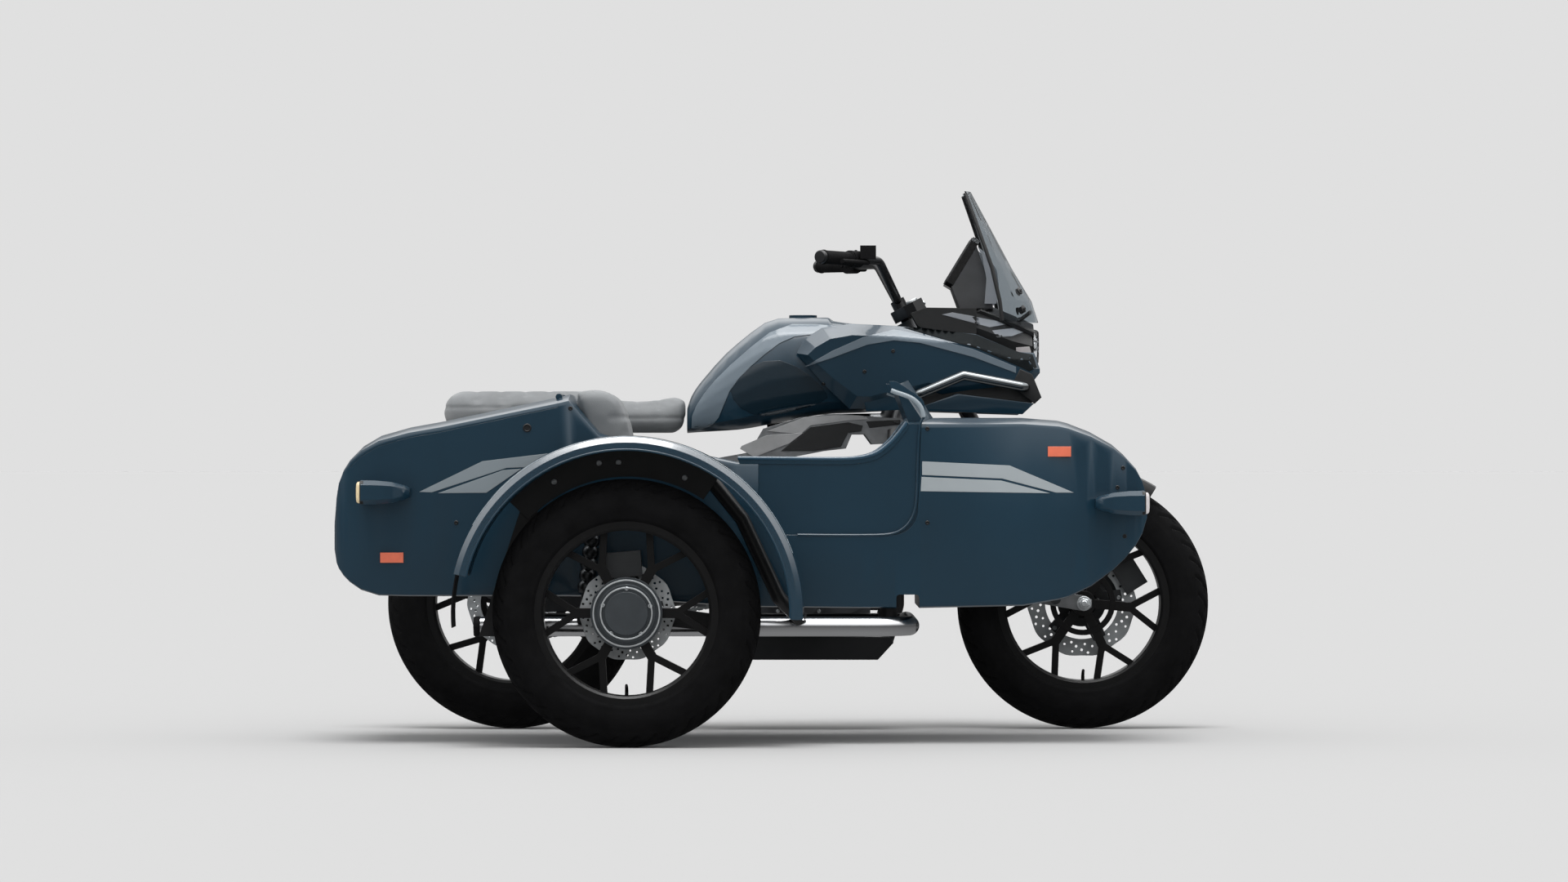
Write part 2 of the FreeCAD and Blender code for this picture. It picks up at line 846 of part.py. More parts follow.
sprocket = new_body("driven_sprocket", rear_x, bike_y + dim.sprocket_offset, axle_z)
sprocket_face = new_sketch(sprocket, "XZ_Plane")
draw_circle(sprocket_face, 0, 0, dim.sprocket_radius)
draw_circle(sprocket_face, 0, 0, dim.axle_radius + dim.axle_clearance)
add_pad(sprocket, sprocket_face, dim.sprocket_thickness)
carrier = new_sketch(sprocket, "XZ_Plane")
draw_circle(carrier, 0, 0, dim.hub_radius)
draw_circle(carrier, 0, 0, dim.axle_radius + dim.axle_clearance)
add_pad(sprocket, carrier, dim.sprocket_offset - dim.hub_half_length, False, False)
compound_node("rear_rotors", [nodes.pop("brake_disc"), sprocket])

cap_face_depth = dim.hub_ring_depth / 2 + dim.lid_gap
cap = new_body("hub_cap", side_x, side_y - cap_face_depth, axle_z)
cap_face = new_sketch(cap, "YZ_Plane")
draw_outline(cap_face, [
    (0, dim.hub_radius),
    (0, dim.cap_radius),
    (dim.cap_step - dim.cap_depth, dim.cap_radius),
    (dim.cap_step - dim.cap_depth, dim.cap_step_radius),
    (-dim.cap_depth, dim.cap_step_radius),
    (-dim.cap_depth, dim.cap_disc_radius),
    (-dim.cap_depth - dim.cap_step, dim.cap_disc_radius),
    (-dim.cap_depth - dim.cap_step, 0),
    (cap_face_depth - dim.hub_half_length, 0),
    (cap_face_depth - dim.hub_half_length, dim.hub_radius),
])
add_turn(cap, cap_face)
keep(cap, "hub_cap")


# Sidecar body: a ruled hull through sections along X, then its cavities and openings

# Each row: along the hull, underside, top, half width
tail_row_shares = (
    (0.000, 0.270, 0.395, 0.72),
    (0.003, 0.208, 0.525, 0.78),
    (0.006, 0.182, 0.595, 0.81),
    (0.012, 0.150, 0.655, 0.845),
)
lid_row_shares = (
    (0.020, 0.120, 0.704, 0.875),
    (0.034, 0.084, 0.757, 0.905),
    (0.056, 0.058, 0.806, 0.935),
    (0.092, 0.055, 0.845, 0.960),
    (0.133, 0.055, 0.873, 0.980),
    (0.276, 0.055, 0.988, 1.000),
)
ridge_row_shares = (
    (0.289, 0.055, 1.000, 1.000),
)
room_row_shares = (
    (0.327, 0.053, 0.830, 1.000),
    (0.496, 0.006, 0.697, 1.000),
    (0.645, 0.000, 0.697, 1.000),
    (0.672, 0.000, 0.742, 1.000),
    (0.688, 0.000, 0.800, 1.000),
    (0.698, 0.000, 0.857, 1.000),
    (0.705, 0.000, 0.890, 1.000),
    (0.721, 0.000, 0.890, 1.000),
    (0.846, 0.010, 0.890, 0.985),
    (0.890, 0.038, 0.877, 0.950),
)
nose_row_shares = (
    (0.902, 0.050, 0.866, 0.935),
    (0.930, 0.100, 0.825, 0.895),
    (0.958, 0.178, 0.765, 0.835),
    (0.972, 0.228, 0.719, 0.800),
    (0.986, 0.292, 0.660, 0.760),
    (0.994, 0.345, 0.600, 0.730),
    (1.000, 0.420, 0.520, 0.690),
)
# Each point of a section: across the half width, up from the underside to the top
section_shares = (
    (0.955, 0.0), (0.990, 0.008), (1.0, 0.030), (1.0, 0.950), (0.990, 0.966), (0.930, 0.976), (0.500, 1.0),
)
lid_section_shares = ((1.0, 0.050), (0.990, 0.034), (0.930, 0.024), (0.500, 0.0))
lid_edge_share = 0.955


def tub_station(row):
    """The place along X, underside, top and half width of one hull section."""
    along, low, high, wide = row
    return (
        dim.tub_back_x + dim.tub_length * along,
        dim.tub_floor_z + dim.tub_height * low,
        dim.tub_floor_z + dim.tub_height * high,
        tub_wide / 2 * wide,
    )


def hull_section(low, high, half, inset=0):
    points = []
    for across, up in section_shares:
        if inset == 0:
            points.append((half * across, between(low, high, up)))
        else:
            points.append(((half - inset) * across, between(low + inset, high - inset, up)))
    return mirrored(points)


tail_stations = [tub_station(row) for row in tail_row_shares]
lid_places = [tub_station(row) for row in lid_row_shares]
ridge_x, ridge_low, ridge_z, ridge_half = tub_station(*ridge_row_shares)
room_stations = [tub_station(row) for row in room_row_shares]
nose_places = [tub_station(row) for row in nose_row_shares]
stations = tail_stations + lid_places + [(ridge_x, ridge_low, ridge_z, ridge_half)] + room_stations + nose_places
lid_hinge_x, lid_front_low, lid_hinge_z, lid_front_half = lid_places[-1]
slope_x, slope_low, slope_z, slope_half = room_stations[0]

tub = new_body("sidecar_tub", 0, tub_y, 0)
add_loft(tub, "YZ_Plane", [(x, hull_section(low, high, half)) for x, low, high, half in stations])

# The foot space and seat space
room = [(x, hull_section(low, high, half, dim.tub_wall)) for x, low, high, half in room_stations]
add_loft(tub, "YZ_Plane", room, "PartDesign::SubtractiveLoft")

# The entry, cut down through the top
entry = new_sketch(tub, "XY_Plane", dim.tub_floor_z + dim.tub_height / 2)
entry_half = tub_wide / 2 - dim.rim_flange
draw_outline(entry, [
    (dim.entry_back_x, -entry_half, dim.entry_corner),
    (dim.entry_front_x, -entry_half, dim.entry_corner),
    (dim.entry_front_x, entry_half, dim.entry_corner),
    (dim.entry_back_x, entry_half, dim.entry_corner),
])
add_pocket(tub, entry, dim.tub_height, False, True)

# The seat for the lid, and the trunk under it
seat_for_lid = []
trunk = []
for x, low, high, half in lid_places:
    under = high - dim.lid_depth - dim.lid_gap
    wide = half + dim.rim_flange
    over = high + dim.lid_depth
    seat_for_lid.append((x, [(wide, under), (wide, over), (-wide, over), (-wide, under)]))
for x, low, high, half in lid_places[2:]:
    inner = half * lid_edge_share - dim.trunk_ledge
    under = high - dim.lid_depth
    floor = low + dim.tub_wall
    trunk.append((x, [(inner * 0.85, floor), (inner, between(floor, under, 0.2)), (inner, under),
                      (-inner, under), (-inner, between(floor, under, 0.2)), (-inner * 0.85, floor)]))
add_loft(tub, "YZ_Plane", seat_for_lid, "PartDesign::SubtractiveLoft")
add_loft(tub, "YZ_Plane", trunk, "PartDesign::SubtractiveLoft")

# A shallow recess in the side below the entry
recess = new_sketch(tub, "XZ_Plane", tub_wide / 2)
draw_outline(recess, [
    (dim.recess_back_x, dim.recess_z, dim.recess_corner),
    (dim.recess_front_x, dim.recess_z, dim.recess_corner),
    (dim.recess_front_x + dim.recess_lean, dim.tub_floor_z + dim.tub_height),
    (dim.recess_back_x, dim.tub_floor_z + dim.tub_height),
])
add_pocket(tub, recess, dim.recess_depth, False, False)

# A channel across the underside, with its hump inside
channel_front_x = dim.channel_back_x + dim.channel_length
channel_z = dim.tub_floor_z + dim.channel_height
hump = new_sketch(tub, "XZ_Plane")
draw_outline(hump, [
    (dim.channel_back_x - dim.tub_wall * 2, dim.tub_floor_z + dim.tub_wall / 2),
    (channel_front_x + dim.tub_wall * 2, dim.tub_floor_z + dim.tub_wall / 2),
    (channel_front_x + dim.tub_wall / 2, channel_z + dim.tub_wall),
    (dim.channel_back_x - dim.tub_wall / 2, channel_z + dim.tub_wall),
])
add_pad(tub, hump, tub_wide - dim.tub_wall)
channel = new_sketch(tub, "XZ_Plane")
draw_outline(channel, [
    (dim.channel_back_x, dim.tub_floor_z - dim.tub_wall),
    (channel_front_x, dim.tub_floor_z - dim.tub_wall),
    (channel_front_x, channel_z, dim.tub_wall),
    (dim.channel_back_x, channel_z, dim.tub_wall),
])
add_pocket(tub, channel, tub_wide * 2)


def add_barrel(body, start, length, radius, cut=False):
    """A round bar or a round cut on the lid's hinge axis, from start along the body's Y axis."""
    sketch = new_sketch(body, "XZ_Plane", -start)
    draw_circle(sketch, lid_hinge_x, lid_hinge_z, radius)
    if cut:
        add_pocket(body, sketch, length, False, False)
    else:
        add_pad(body, sketch, length, False, True)


knuckle = dim.hinge_knuckle
for hinge_y in (-dim.hinge_place, dim.hinge_place):
    add_barrel(tub, hinge_y - knuckle * 1.5, knuckle * 3, dim.hinge_radius)
    add_barrel(tub, hinge_y - knuckle / 2 - gap, knuckle + gap * 2, dim.hinge_radius + gap, True)
keep(tub, "sidecar_tub")

lid = new_body("trunk_lid_panel", 0, tub_y, 0)
lid_stations = []
for x, low, high, half in lid_places:
    section = [(half, high - dim.lid_depth)]
    for across, down in lid_section_shares:
        section.append((half * across, high - (high - low) * down))
    lid_stations.append((x, mirrored(section)))
add_loft(lid, "YZ_Plane", lid_stations)
for hinge_y in (-dim.hinge_place, dim.hinge_place):
    add_barrel(lid, hinge_y - knuckle * 1.5 - gap, knuckle + gap, dim.hinge_radius + gap, True)
    add_barrel(lid, hinge_y + knuckle / 2, knuckle + gap, dim.hinge_radius + gap, True)
    add_barrel(lid, hinge_y - knuckle / 2, knuckle, dim.hinge_radius)
keep(lid, "trunk_lid_panel")


def tub_inner_floor(x):
    """Height of the sidecar's floor inside, at a place along X."""
    for first, second in zip(stations, stations[1:]):
        if float(first[0]) <= float(x) <= float(second[0]):
            share = (x - first[0]) / (second[0] - first[0])
            return between(first[1], second[1], share) + dim.tub_wall
    return dim.tub_floor_z + dim.tub_wall


# Sidecar seat: a cushion on the floor and a backrest on the trunk's sloping front
cushion_back_x = slope_x + dim.tub_wall + dim.backrest_thickness + dim.soft_gap * 2
mid_x = room_stations[1][0]
cushion = new_body("seat_cushion", 0, tub_y, 0)
cushion_side = new_sketch(cushion, "XZ_Plane")
floor_back = tub_inner_floor(cushion_back_x)
draw_outline(cushion_side, [
    (cushion_back_x, floor_back + dim.soft_gap),
    (mid_x, tub_inner_floor(mid_x) + dim.soft_gap),
    (dim.cushion_front_x - dim.cushion_nose, tub_inner_floor(dim.cushion_front_x) + dim.soft_gap),
    (dim.cushion_front_x, tub_inner_floor(dim.cushion_front_x) + dim.cushion_height / 2),
    (dim.cushion_front_x, tub_inner_floor(dim.cushion_front_x) + dim.cushion_height, dim.cushion_nose),
    (cushion_back_x, floor_back + dim.cushion_height),
])
add_pad(cushion, cushion_side, tub_wide - dim.cushion_margin * 2)

backrest = new_body("seat_backrest", 0, tub_y, 0)
backrest_side = new_sketch(backrest, "XZ_Plane")
wall_x = slope_x + dim.soft_gap
lean_x = ridge_x + dim.backrest_lean
backrest_top_z = ridge_z + dim.backrest_rise
draw_outline(backrest_side, [
    (wall_x, floor_back + dim.cushion_height / 2),
    (wall_x + dim.backrest_thickness, floor_back + dim.cushion_height / 2),
    (lean_x + dim.backrest_thickness, between(slope_z, backrest_top_z, 0.35)),
    (lean_x + dim.backrest_thickness / 2, between(slope_z, backrest_top_z, 0.75)),
    (lean_x, backrest_top_z),
    (ridge_x + dim.soft_gap * 6, backrest_top_z),
    (ridge_x + dim.soft_gap * 2, ridge_z + dim.soft_gap * 2),
    (wall_x + dim.soft_gap, slope_z),
])
add_pad(backrest, backrest_side, tub_wide - dim.backrest_margin * 2)
compound_node("sidecar_seat", [cushion, backrest])

# Raised lip ahead of the entry, curved across the deck
coaming = new_body("entry_coaming", 0, tub_y, 0)
deck_x, deck_low, deck_z, deck_half = room_stations[-4]
lip_x = dim.entry_front_x
crown_share = 0.022
coaming_stations = []
for across, forward, down in ((-1.0, 0.0, crown_share), (-0.56, 0.8, 0.0), (0.56, 0.8, 0.0), (1.0, 0.0, crown_share)):
    base_z = between(deck_z, deck_low, down) + gap
    ahead = dim.coaming_curve * forward
    coaming_stations.append((entry_half * across, [
        (deck_x + gap + ahead, base_z),
        (deck_x + dim.coaming_base + ahead, base_z),
        (lip_x + dim.coaming_tip + ahead, base_z + dim.coaming_height),
        (lip_x + ahead, base_z + dim.coaming_height - dim.coaming_tip),
    ]))
add_loft(coaming, "XZ_Plane", coaming_stations)
keep(coaming, "entry_coaming")


# Sidecar fender, its flap and the plate that carries it

def make_fender(name, x, y, radius, half, lip, sheet_thickness, front_angle, back_angle):
    """A sheet channel turned about a wheel's axle from one angle above the horizon to another."""
    middle = (front_angle + back_angle) / 2
    body = new_body(name, x, y, axle_z, as_size(90) - middle)
    sketch = new_sketch(body, "YZ_Plane")
    outer = [
        (half, radius - lip),
        (half, radius - lip / 2),
        (half * 0.9, radius - lip / 8),
        (half * 0.4, radius),
    ]
    inner_half = half - sheet_thickness
    inner_radius = radius - sheet_thickness
    inner = [
        (inner_half, radius - lip),
        (inner_half, radius - lip / 2 - sheet_thickness / 2),
        (half * 0.9 - sheet_thickness / 2, inner_radius - lip / 8),
        (half * 0.4, inner_radius),
    ]
    left = outer + [(-across, up) for across, up in reversed(outer)]
    right = [(across, up) for across, up in inner] + [(-across, up) for across, up in reversed(inner)]
    draw_outline(sketch, left + list(reversed(right)))
    add_turn(body, sketch, back_angle - front_angle, True)
    return keep(body, name)


make_fender("sidecar_fender", side_x, side_y, dim.fender_radius, dim.fender_half_width, dim.fender_lip,
            dim.fender_sheet, dim.fender_front_angle, dim.fender_back_angle)
flap = new_body("fender_flap", side_x, side_y, axle_z,
                as_size(90) - (dim.flap_start_angle + dim.flap_end_angle) / 2)
flap_section = new_sketch(flap, "YZ_Plane")
flap_top = dim.fender_radius - dim.fender_sheet - dim.flap_drop - dim.flap_sheet
draw_outline(flap_section, [
    (dim.flap_half_width, flap_top),
    (dim.flap_half_width, flap_top + dim.flap_sheet),
    (-dim.flap_half_width, flap_top + dim.flap_sheet),
    (-dim.flap_half_width, flap_top),
])
add_turn(flap, flap_section, dim.flap_end_angle - dim.flap_start_angle, True)
keep(flap, "fender_flap")

plate_y = side_y + dim.fender_half_width + dim.bracket_sheet / 2
plate = new_body("fender_brackets", side_x, plate_y, axle_z,
                 as_size(90) - (dim.bracket_front_angle + dim.bracket_back_angle) / 2)
plate_section = new_sketch(plate, "YZ_Plane")
draw_outline(plate_section, [
    (dim.bracket_sheet / 2, dim.bracket_inner_radius),
    (dim.bracket_sheet / 2, dim.bracket_outer_radius),
    (-dim.bracket_sheet / 2, dim.bracket_outer_radius),
    (-dim.bracket_sheet / 2, dim.bracket_inner_radius),
])
add_turn(plate, plate_section, dim.bracket_back_angle - dim.bracket_front_angle, True)
keep(plate, "fender_brackets")


# Sidecar frame

rail_z = dim.rail_z
rail_path = [
    (rail_back_x, outer_y, rail_z),
    (dim.rail_front_x, outer_y, rail_z),
    (dim.rail_front_x, inner_y, rail_z),
]
rail_bend = dim.rail_radius * 4
shape_node("sidecar_rail", [bent_tube(rail_path, dim.rail_radius, rail_bend)])
rail_space = bent_tube(rail_path, dim.rail_radius + gap, rail_bend)

spar_inner = bike_y - dim.spar_inner_y
near_spar_y = spar_inner - dim.spar_thickness
inner_rail = rod((rail_back_x, inner_y, rail_z), (dim.rail_front_x, inner_y, rail_z), dim.cross_radius)
rear_cross = rod((cross_back_x, outer_y, rail_z), (cross_back_x, inner_y, rail_z), dim.cross_radius)
mid_cross = rod((arm_pivot_x, outer_y, rail_z), (arm_pivot_x, inner_y, rail_z), dim.cross_radius)


def rising_strut(foot_x, top_x, top_z):
    """A strut that leaves the inner rail sideways, clears the tub and rises to the frame's spar."""
    knee_y = outer_y + tub_wide + dim.strut_radius * 2.5
    return bent_tube([
        (foot_x, inner_y, rail_z),
        (between(foot_x, top_x, 0.3), knee_y, rail_z + dim.strut_radius * 2.5),
        (top_x, near_spar_y - gap, top_z),
    ], dim.strut_radius, dim.strut_radius * 2.5)


struts = [
    rising_strut(dim.strut_front_x, dim.strut_front_x + dim.strut_lean, dim.strut_low_z),
    rod(((side_x - dim.strut_back_gap), inner_y, rail_z), (pivot_x, near_spar_y - gap, dim.pivot_z), dim.strut_radius),
    rising_strut(arm_pivot_x, arm_pivot_x - dim.strut_top_lean, dim.strut_top_z),
]
beyond = block(rail_back_x, near_spar_y - gap, 0, dim.wheelbase, dim.track_width, dim.wheelbase)
frame_solid = fused([inner_rail, rear_cross, mid_cross] + struts).cut(rail_space).cut(beyond)
under_tub_front = room_stations[2][1] - gap
under_tub_back = lid_front_low - gap
mount_places = [
    (dim.rail_front_x - dim.mount_radius * 2.3, outer_y + dim.mount_inset, under_tub_front),
    (dim.rail_front_x - dim.mount_radius * 2.3, inner_y - dim.mount_inset, under_tub_front),
    (cross_back_x, outer_y + dim.mount_inset, under_tub_back),
    (cross_back_x, inner_y - dim.mount_inset, under_tub_back),
]
mount_bar = rod((mount_places[0][0], outer_y, rail_z), (mount_places[0][0], inner_y, rail_z), dim.cross_radius)
mounts = [rod((x, y, rail_z), (x, y, top), dim.mount_radius) for x, y, top in mount_places]
mount_bar = max(mount_bar.cut(rail_space).Solids, key=lambda solid: solid.Volume)
frame_solid = frame_solid.fuse([mount_bar] + mounts)
pivot_boss = rod((arm_pivot_x, outer_y, rail_z),
                 (arm_pivot_x, arm_y + dim.arm_width / 2 + gap, rail_z), dim.pivot_radius)
pivot_boss = pivot_boss.cut(rail_space).Solids
pivot_boss = min(pivot_boss, key=lambda solid: solid.CenterOfMass.y)
shape_node("sidecar_frame", frame_solid.Solids + [pivot_boss])

# Swinging arm of the sidecar wheel, with its stub axle and spacer
arm = new_body("sidecar_swingarm", 0, arm_y, 0)
arm_side = new_sketch(arm, "XZ_Plane")
draw_outline(arm_side, [
    (arm_pivot_x + dim.pivot_radius, rail_z - dim.pivot_radius, dim.pivot_radius / 2),
    (arm_pivot_x + dim.pivot_radius, rail_z + dim.pivot_radius, dim.pivot_radius / 2),
    (side_x, axle_z + dim.arm_height / 2),
    (side_x - dim.arm_tail, axle_z + dim.arm_height / 4, dim.arm_height / 8),
    (side_x - dim.arm_tail, axle_z - dim.arm_height / 2, dim.arm_height / 8),
    (side_x, axle_z - dim.arm_height / 2),
])
add_pad(arm, arm_side, dim.arm_width)
spacer = new_sketch(arm, "XZ_Plane")
draw_circle(spacer, side_x, axle_z, dim.axle_radius * 1.6)
spacer_end = arm_y - side_y - dim.disc_offset - dim.disc_thickness / 2 - dim.moving_gap
add_pad(arm, spacer, spacer_end, False, False)
stub = new_sketch(arm, "XZ_Plane")
draw_circle(stub, side_x, axle_z, dim.axle_radius)
add_pad(arm, stub, arm_y - side_y + dim.hub_half_length * 0.8, False, False)
keep(arm, "sidecar_swingarm")


def shock(low, high, radius, eye_radius, eye_width):
    """A damper with its coil turned as a row of rounded ridges, and an eye at each end."""
    low = vector(*low)
    high = vector(*high)
    line = high - low
    first, last = shock_body_shares
    turns = int(float(dim.coil_turns))
    profile = [V(0, 0, line.Length * first)]
    for turn in range(turns):
        for along, out in coil_shares:
            place = line.Length * between(first, last, (turn + along) / turns)
            profile.append(V(float(radius) * out, 0, place))
    profile += [V(float(radius) * coil_shares[0][1], 0, line.Length * last), V(0, 0, line.Length * last)]
    coil = Part.Face(Part.makePolygon(profile + [profile[0]])).revolve(V(0, 0, 0), V(0, 0, 1), 360)
    coil.Placement = FreeCAD.Placement(low, FreeCAD.Rotation(V(0, 0, 1), line))
    shaft = Part.makeCylinder(float(radius) * shock_shaft_share, line.Length, low, line)
    across = V(0, float(eye_width), 0)
    eyes = []
    for centre in (low, high):
        eyes.append(Part.makeCylinder(float(eye_radius), float(eye_width), centre - across * 0.5, across))
    return fused([coil, shaft] + eyes)


coil_shares = ((0.0, 0.74), (0.22, 0.94), (0.36, 1.0), (0.64, 1.0), (0.78, 0.94))
shock_body_shares = (0.16, 0.86)
shock_shaft_share = 0.45
side_shock_low = (side_x - dim.arm_tail + dim.eye_radius, arm_y + dim.arm_width + gap * 2,
                  axle_z)
side_shock_high = (side_x - dim.side_shock_lean, arm_y + dim.arm_width + gap * 2,
                   axle_z + dim.side_shock_rise)
side_shock = shock(side_shock_low, side_shock_high, dim.side_shock_radius, dim.eye_radius, dim.arm_width)
top_pin = rod(side_shock_high, (side_shock_high[0], plate_y + dim.bracket_sheet / 2 + gap, side_shock_high[2]),
              dim.axle_radius)
bike_shock = shock((bike_shock_low_x, bike_y, dim.pivot_z + dim.swing_height / 2 + dim.eye_radius + gap),
                   (bike_shock_high_x, bike_y, dim.bike_shock_high_z), dim.bike_shock_radius,
                   dim.eye_radius, dim.arm_width)
shape_node("shocks", [side_shock.fuse(top_pin).removeSplitter(), bike_shock])

# Flat strut and bent tube that carry the fender's plate, in one node with it
plate_face = plate_y + dim.bracket_sheet / 2 + gap
strut_top = (side_x - dim.strut_flat_gap, dim.strut_flat_top_z)
strut_foot = (rail_back_x + dim.strut_flat_width / 2, rail_z)
flat_half = dim.strut_flat_width / 2
flat_strut = prism([
    (strut_top[0] - flat_half, strut_top[1]),
    (strut_top[0] + flat_half, strut_top[1]),
    (strut_foot[0] + flat_half, strut_foot[1] - flat_half),
    (strut_foot[0] - flat_half, strut_foot[1] - flat_half),
], plate_face, dim.strut_flat_thickness)
foot_pin = rod((strut_foot[0], plate_face, rail_z), (strut_foot[0], outer_y, rail_z), dim.axle_radius)
flat_strut = fused([flat_strut, foot_pin]).cut(rail_space)
flat_strut = max(flat_strut.Solids, key=lambda solid: solid.Volume)
tube_y = plate_face + dim.stay_radius
stay_top_x = side_x + dim.stay_gap
tube_stay = bent_tube([
    (stay_top_x, tube_y, dim.stay_top_z),
    (stay_top_x + dim.stay_run * 0.33, tube_y, between(rail_z, dim.stay_top_z, 0.75)),
    (stay_top_x + dim.stay_run * 0.75, tube_y, between(rail_z, dim.stay_top_z, 0.2)),
    (stay_top_x + dim.stay_run, outer_y - dim.stay_radius, rail_z + dim.stay_radius),
], dim.stay_radius, dim.stay_radius * 2).cut(rail_space)
tube_stay = max(tube_stay.Solids, key=lambda solid: solid.Volume)
keep(shape_node("fender_stays", [flat_strut, tube_stay]), "fender_stays")
compound_node("fender_brackets", [plate, nodes.pop("fender_stays")])


# Frame of the motorcycle: head tube, side spars, seat rails, with the foot pegs

rake = dim.rake
down_x = sine(rake)
down_z = -cosine(rake)


def on_stem(distance, ahead=0):
    """A point on the steering axis, or ahead of it, at a distance below its top."""
    return (
        dim.stem_x + down_x * distance - down_z * ahead,
        dim.stem_z + down_z * distance + down_x * ahead,
    )


def stem_point(distance, ahead=0, side=0):
    x, z = on_stem(distance, ahead)
    return (x, bike_y + side, z)


spar_front_x = dim.radiator_x - dim.radiator_thickness / 2 - gap
spar_back = pivot_x - dim.spar_foot_half
spar_low = dim.pivot_z - dim.spar_foot_half
# Each point: from the pivot to the radiator, from the pivot up to the neck
spar_share_points = (
    (0.094, 0.422), (0.140, 0.595), (0.306, 0.750), (0.610, 0.820), (0.712, 0.834), (0.740, 0.915),
    (0.800, 0.915), (0.835, 0.858), (1.000, 0.868), (1.000, 1.000), (0.655, 1.031), (0.495, 1.009),
    (0.321, 0.947), (0.255, 0.813), (0.085, 0.777),
)
spar_outline = [(spar_back, spar_low), (pivot_x + dim.spar_foot_half, spar_low)]
for along, up in spar_share_points:
    spar_outline.append((between(pivot_x, spar_front_x, along), between(dim.pivot_z, dim.neck_z, up)))
spar_outline.append((spar_back, between(dim.pivot_z, dim.neck_z, 0.470)))
near_spar = prism(spar_outline, near_spar_y, dim.spar_thickness)
spars = both_sides(near_spar)
head_tube = rod(stem_point(dim.head_start), stem_point(dim.head_start + dim.head_length), dim.head_radius)
neck_rods = both_sides(rod(stem_point(dim.head_start + dim.head_length * 0.35),
                           (spar_front_x - dim.head_radius, near_spar_y + dim.spar_thickness / 2, dim.neck_z - dim.stem_radius), dim.stem_radius))
backbone = bent_tube([
    stem_point(dim.head_start + dim.head_length * 0.6),
    (dim.backbone_bend_x, bike_y, dim.backbone_z + dim.backbone_drop / 16),
    (dim.backbone_mid_x, bike_y, dim.backbone_z),
    (dim.backbone_end_x, bike_y, dim.backbone_z - dim.backbone_drop),
], dim.spar_radius, dim.spar_radius)
backbone_tie = rod((dim.backbone_end_x, near_spar_y, dim.backbone_z - dim.backbone_drop - dim.eye_radius / 2),
                   (dim.backbone_end_x, bike_y * 2 - near_spar_y, dim.backbone_z - dim.backbone_drop
                    - dim.eye_radius / 2), dim.eye_radius)
rail_half = dim.subframe_half_spacing
seat_rails = both_sides(bent_tube([
    (pivot_x, near_spar_y + dim.spar_thickness / 2, between(dim.pivot_z, dim.subframe_z, 0.626)),
    (pivot_x - dim.subframe_rise, bike_y - rail_half, dim.subframe_z),
    (subframe_back_x, bike_y - rail_half, dim.subframe_z),
], dim.subframe_radius, dim.subframe_radius * 5))
seat_stays = both_sides(rod((pivot_x, near_spar_y + dim.spar_thickness / 2, between(dim.pivot_z, dim.subframe_z, 0.331)),
                            (between(pivot_x, subframe_back_x, 0.634), bike_y - rail_half, dim.subframe_z),
                            dim.subframe_radius))
rail_ties = [rod((x, bike_y - rail_half, dim.subframe_z), (x, bike_y + rail_half, dim.subframe_z),
                 dim.subframe_radius) for x in (between(pivot_x, subframe_back_x, 0.42), between(pivot_x, subframe_back_x, 0.73))]
shock_tie = rod((bike_shock_high_x, spar_inner, dim.bike_shock_high_z),
                (bike_shock_high_x, bike_y - dim.arm_width / 2 - gap, dim.bike_shock_high_z), dim.eye_radius)
shock_ties = both_sides(shock_tie)
pegs = both_sides(rod((peg_x, near_spar_y, dim.peg_z), (peg_x, near_spar_y - dim.peg_length, dim.peg_z),
                      dim.peg_radius))
frame_parts = [head_tube, backbone, backbone_tie] + spars + neck_rods + seat_rails + seat_stays
frame_whole = fused(frame_parts + rail_ties + shock_ties + pegs)
stem_bore = rod(stem_point(0), stem_point(dim.head_length * 2), dim.stem_radius + gap)
shape_node("frame", [frame_whole.cut(stem_bore)])

# Engine: crankcase, cylinders, head and its cover, with stepped round covers and a ribbed sump
engine_half = dim.engine_half_width
engine_top = dim.engine_bottom_z + dim.engine_height
head_z = engine_top + dim.cylinder_height
margin = dim.head_margin


def engine_block(share_points, low_y, high_y):
    """A side outline in shares of the engine's length and crankcase height, between two places along Y."""
    outline = [(engine_back_x + engine_long * along, dim.engine_bottom_z + dim.engine_height * up)
               for along, up in share_points]
    return prism(outline, bike_y + low_y, high_y - low_y)


case = engine_block(((0.21, 0.10), (0.27, 0.02), (0.88, 0.02), (1.0, 0.14), (1.0, 0.55), (0.93, 0.80),
                     (0.93, 1.0), (0.26, 1.0), (0.21, 0.90)), -engine_half * 0.86, engine_half * 0.86)
belt_case = engine_block(((0.21, 0.22), (0.30, 0.12), (0.82, 0.10), (0.94, 0.22), (0.94, 0.55), (0.84, 0.82),
                          (0.34, 0.86), (0.21, 0.70)), -engine_half, engine_half)
gearbox = engine_block(((0.0, 0.16), (0.06, 0.06), (0.21, 0.02), (0.21, 0.82), (0.05, 0.80), (0.0, 0.66)),
                       -engine_half * 0.8, engine_half * 0.35)
cylinder = block(dim.cylinder_back_x, bike_y - dim.cylinder_half_width, engine_top,
                 dim.cylinder_length, dim.cylinder_half_width * 2, dim.cylinder_height)
head_half = dim.spar_inner_y - gap * 2
head_back_x = dim.cylinder_back_x - margin
head_long = dim.cylinder_length + margin * 2
head = prism([
    (head_back_x, head_z), (head_back_x + head_long, head_z),
    (head_back_x + head_long, head_z + dim.head_height * 0.5),
    (head_back_x + head_long * 0.86, head_z + dim.head_height - margin),
    (head_back_x + head_long * 0.14, head_z + dim.head_height - margin),
    (head_back_x, head_z + dim.head_height * 0.5),
], bike_y - head_half, head_half * 2)
seam_ribs = []
